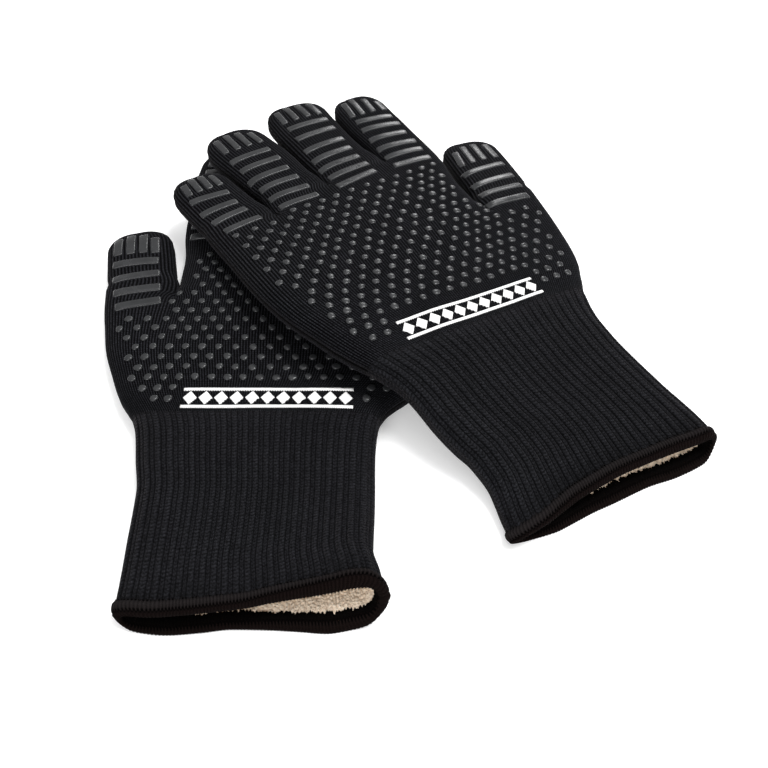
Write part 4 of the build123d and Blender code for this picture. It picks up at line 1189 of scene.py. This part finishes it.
    # plain white print: lozenges between two lines
    pr = Patches(g, tree)
    pu, pv = g["print_at"]
    for s in (-5.0, 5.0):
        w = np.linspace(-39, 39, 53)
        w = np.concatenate([[-39], w, [39]])
        t = np.array([-0.7, -0.7, 0, 0.7, 0.7])
        W, T = np.meshgrid(w, t, indexing="ij")
        H = np.full_like(W, 0.55)
        H[0], H[-1], H[:, 0], H[:, -1] = -0.3, -0.3, -0.3, -0.3
        pr.add(pu + s + T, pv + W, H)
    for i in range(11):
        k = np.linspace(-1, 1, 9)
        A, B = np.meshgrid(k, k, indexing="ij")
        # square grid turned into a lozenge
        X = (A + B) / 2 * 3.1
        Y = (A - B) / 2 * 3.8
        H = np.full_like(X, 0.55)
        X2 = np.pad(X, 1, mode="edge")
        Y2 = np.pad(Y, 1, mode="edge")
        H2 = np.pad(H, 1, constant_values=-0.3)
        pr.add(pu + Y2, pv + (i - 5) * 7.1 + X2, H2)
    print_ob = pr.make(f"{n}_wrist_band_print", PRINT)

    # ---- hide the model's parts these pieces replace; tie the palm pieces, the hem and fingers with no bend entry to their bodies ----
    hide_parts(f"{n}_cuff_shell")
    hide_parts(f"{n}_palm_shell")
    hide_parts(f"{n}_hem")
    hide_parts(f"{n}_cuff_lining")
    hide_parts(f"{n}_palm_lining")
    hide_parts(f"{n}_palm_dots")
    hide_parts(f"{n}_palm_bars")
    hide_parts(f"{n}_wrist_print")
    for ob in (palm_ob, lin_palm, dots_ob, palm_bars, print_ob):
        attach(ob, palm_body)
    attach(hem_ob, cuff_body)
    us0, us1 = g["cuff_bend"]
    zc = float(pchip(g["under"], us0)) + 7
    for ob in (cuff_ob, lin_cuff):
        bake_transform(ob)
    for name in FINGERS:
        trio = (finger_obs[name], lin_f[name], grips[name])
        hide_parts(f"{n}_{name}_shell")
        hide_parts(f"{n}_{name}_lining")
        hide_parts(f"{n}_{name}_grip")
        if name in g["bend"]:
            a, b = g["bend"][name]
            f = g["fingers"][name]
            z = float(pchip(f["z"], a))
            for ob in trio:
                wpoint(g, a, float(pchip(f["c"], a)), z)
                wpoint(g, b, float(pchip(f["c"], b)), z)
                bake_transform(ob)
        else:
            for ob in trio:
                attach(ob, palm_body)


for G in (LEFT, RIGHT):
    make_glove(G)

# ---- floor, light, camera -------------------------------------------------
me = bpy.data.meshes.new("floor")
s = 6.0
me.from_pydata([(-s, -s, -0.0002), (s, -s, -0.0002), (s, s, -0.0002), (-s, s, -0.0002)], [], [(0, 1, 2, 3)])
floor = bpy.data.objects.new("floor", me)
bpy.context.collection.objects.link(floor)
fm, fnt, fb = new_mat("floor_white")
fb.inputs["Base Color"].default_value = (0.93, 0.93, 0.93, 1)
fb.inputs["Roughness"].default_value = 0.9
fb.inputs["Specular IOR Level"].default_value = 0.1
# a faint glow of its own keeps the table white beside the gloves, as in the photo
fb.inputs["Emission Color"].default_value = (1.0, 1.0, 1.0, 1)
fb.inputs["Emission Strength"].default_value = 0.22
me.materials.append(fm)

scene = bpy.context.scene
scene.view_settings.view_transform = "Standard"
world_bg = bpy.data.worlds.new("studio")
world_bg.use_nodes = True
bg = world_bg.node_tree.nodes["Background"]
bg.inputs[0].default_value = (1.0, 1.0, 1.0, 1)
bg.inputs[1].default_value = 0.50
scene.world = world_bg


def area(name, loc, target, size, power, size_y=None):
    l = bpy.data.lights.new(name, "AREA")
    l.energy = power
    l.size = size
    if size_y:
        l.shape = "RECTANGLE"
        l.size_y = size_y
    ob = bpy.data.objects.new(name, l)
    ob.location = loc
    d = Vector(target) - Vector(loc)
    ob.rotation_euler = d.to_track_quat("-Z", "Y").to_euler()
    bpy.context.collection.objects.link(ob)
    return ob


area("key", (0.65, 0.15, 1.6), (0, 0, 0), 0.7, 24)
area("top", (0.0, 0.25, 1.7), (0, 0, 0), 1.8, 8)
area("fill", (-0.35, -1.6, 0.8), (0, -0.1, 0), 1.0, 17)
area("back", (0.3, 1.9, 1.0), (0, 0, 0), 0.6, 9)
area("side", (1.7, 0.1, 0.45), (0, 0, 0), 0.6, 8)

cam = bpy.data.cameras.new("camera")
cam.sensor_width = 36
cam.sensor_height = 36
cam.lens = 36 / 2 / math.tan(math.radians(55.84 / 2))
cam.clip_start = 0.01
co = bpy.data.objects.new("camera", cam)
co.location = (OX / 1000, OY / 1000, 0.273)
co.rotation_euler = (math.radians(40), 0, 0)
bpy.context.collection.objects.link(co)
scene.camera = co
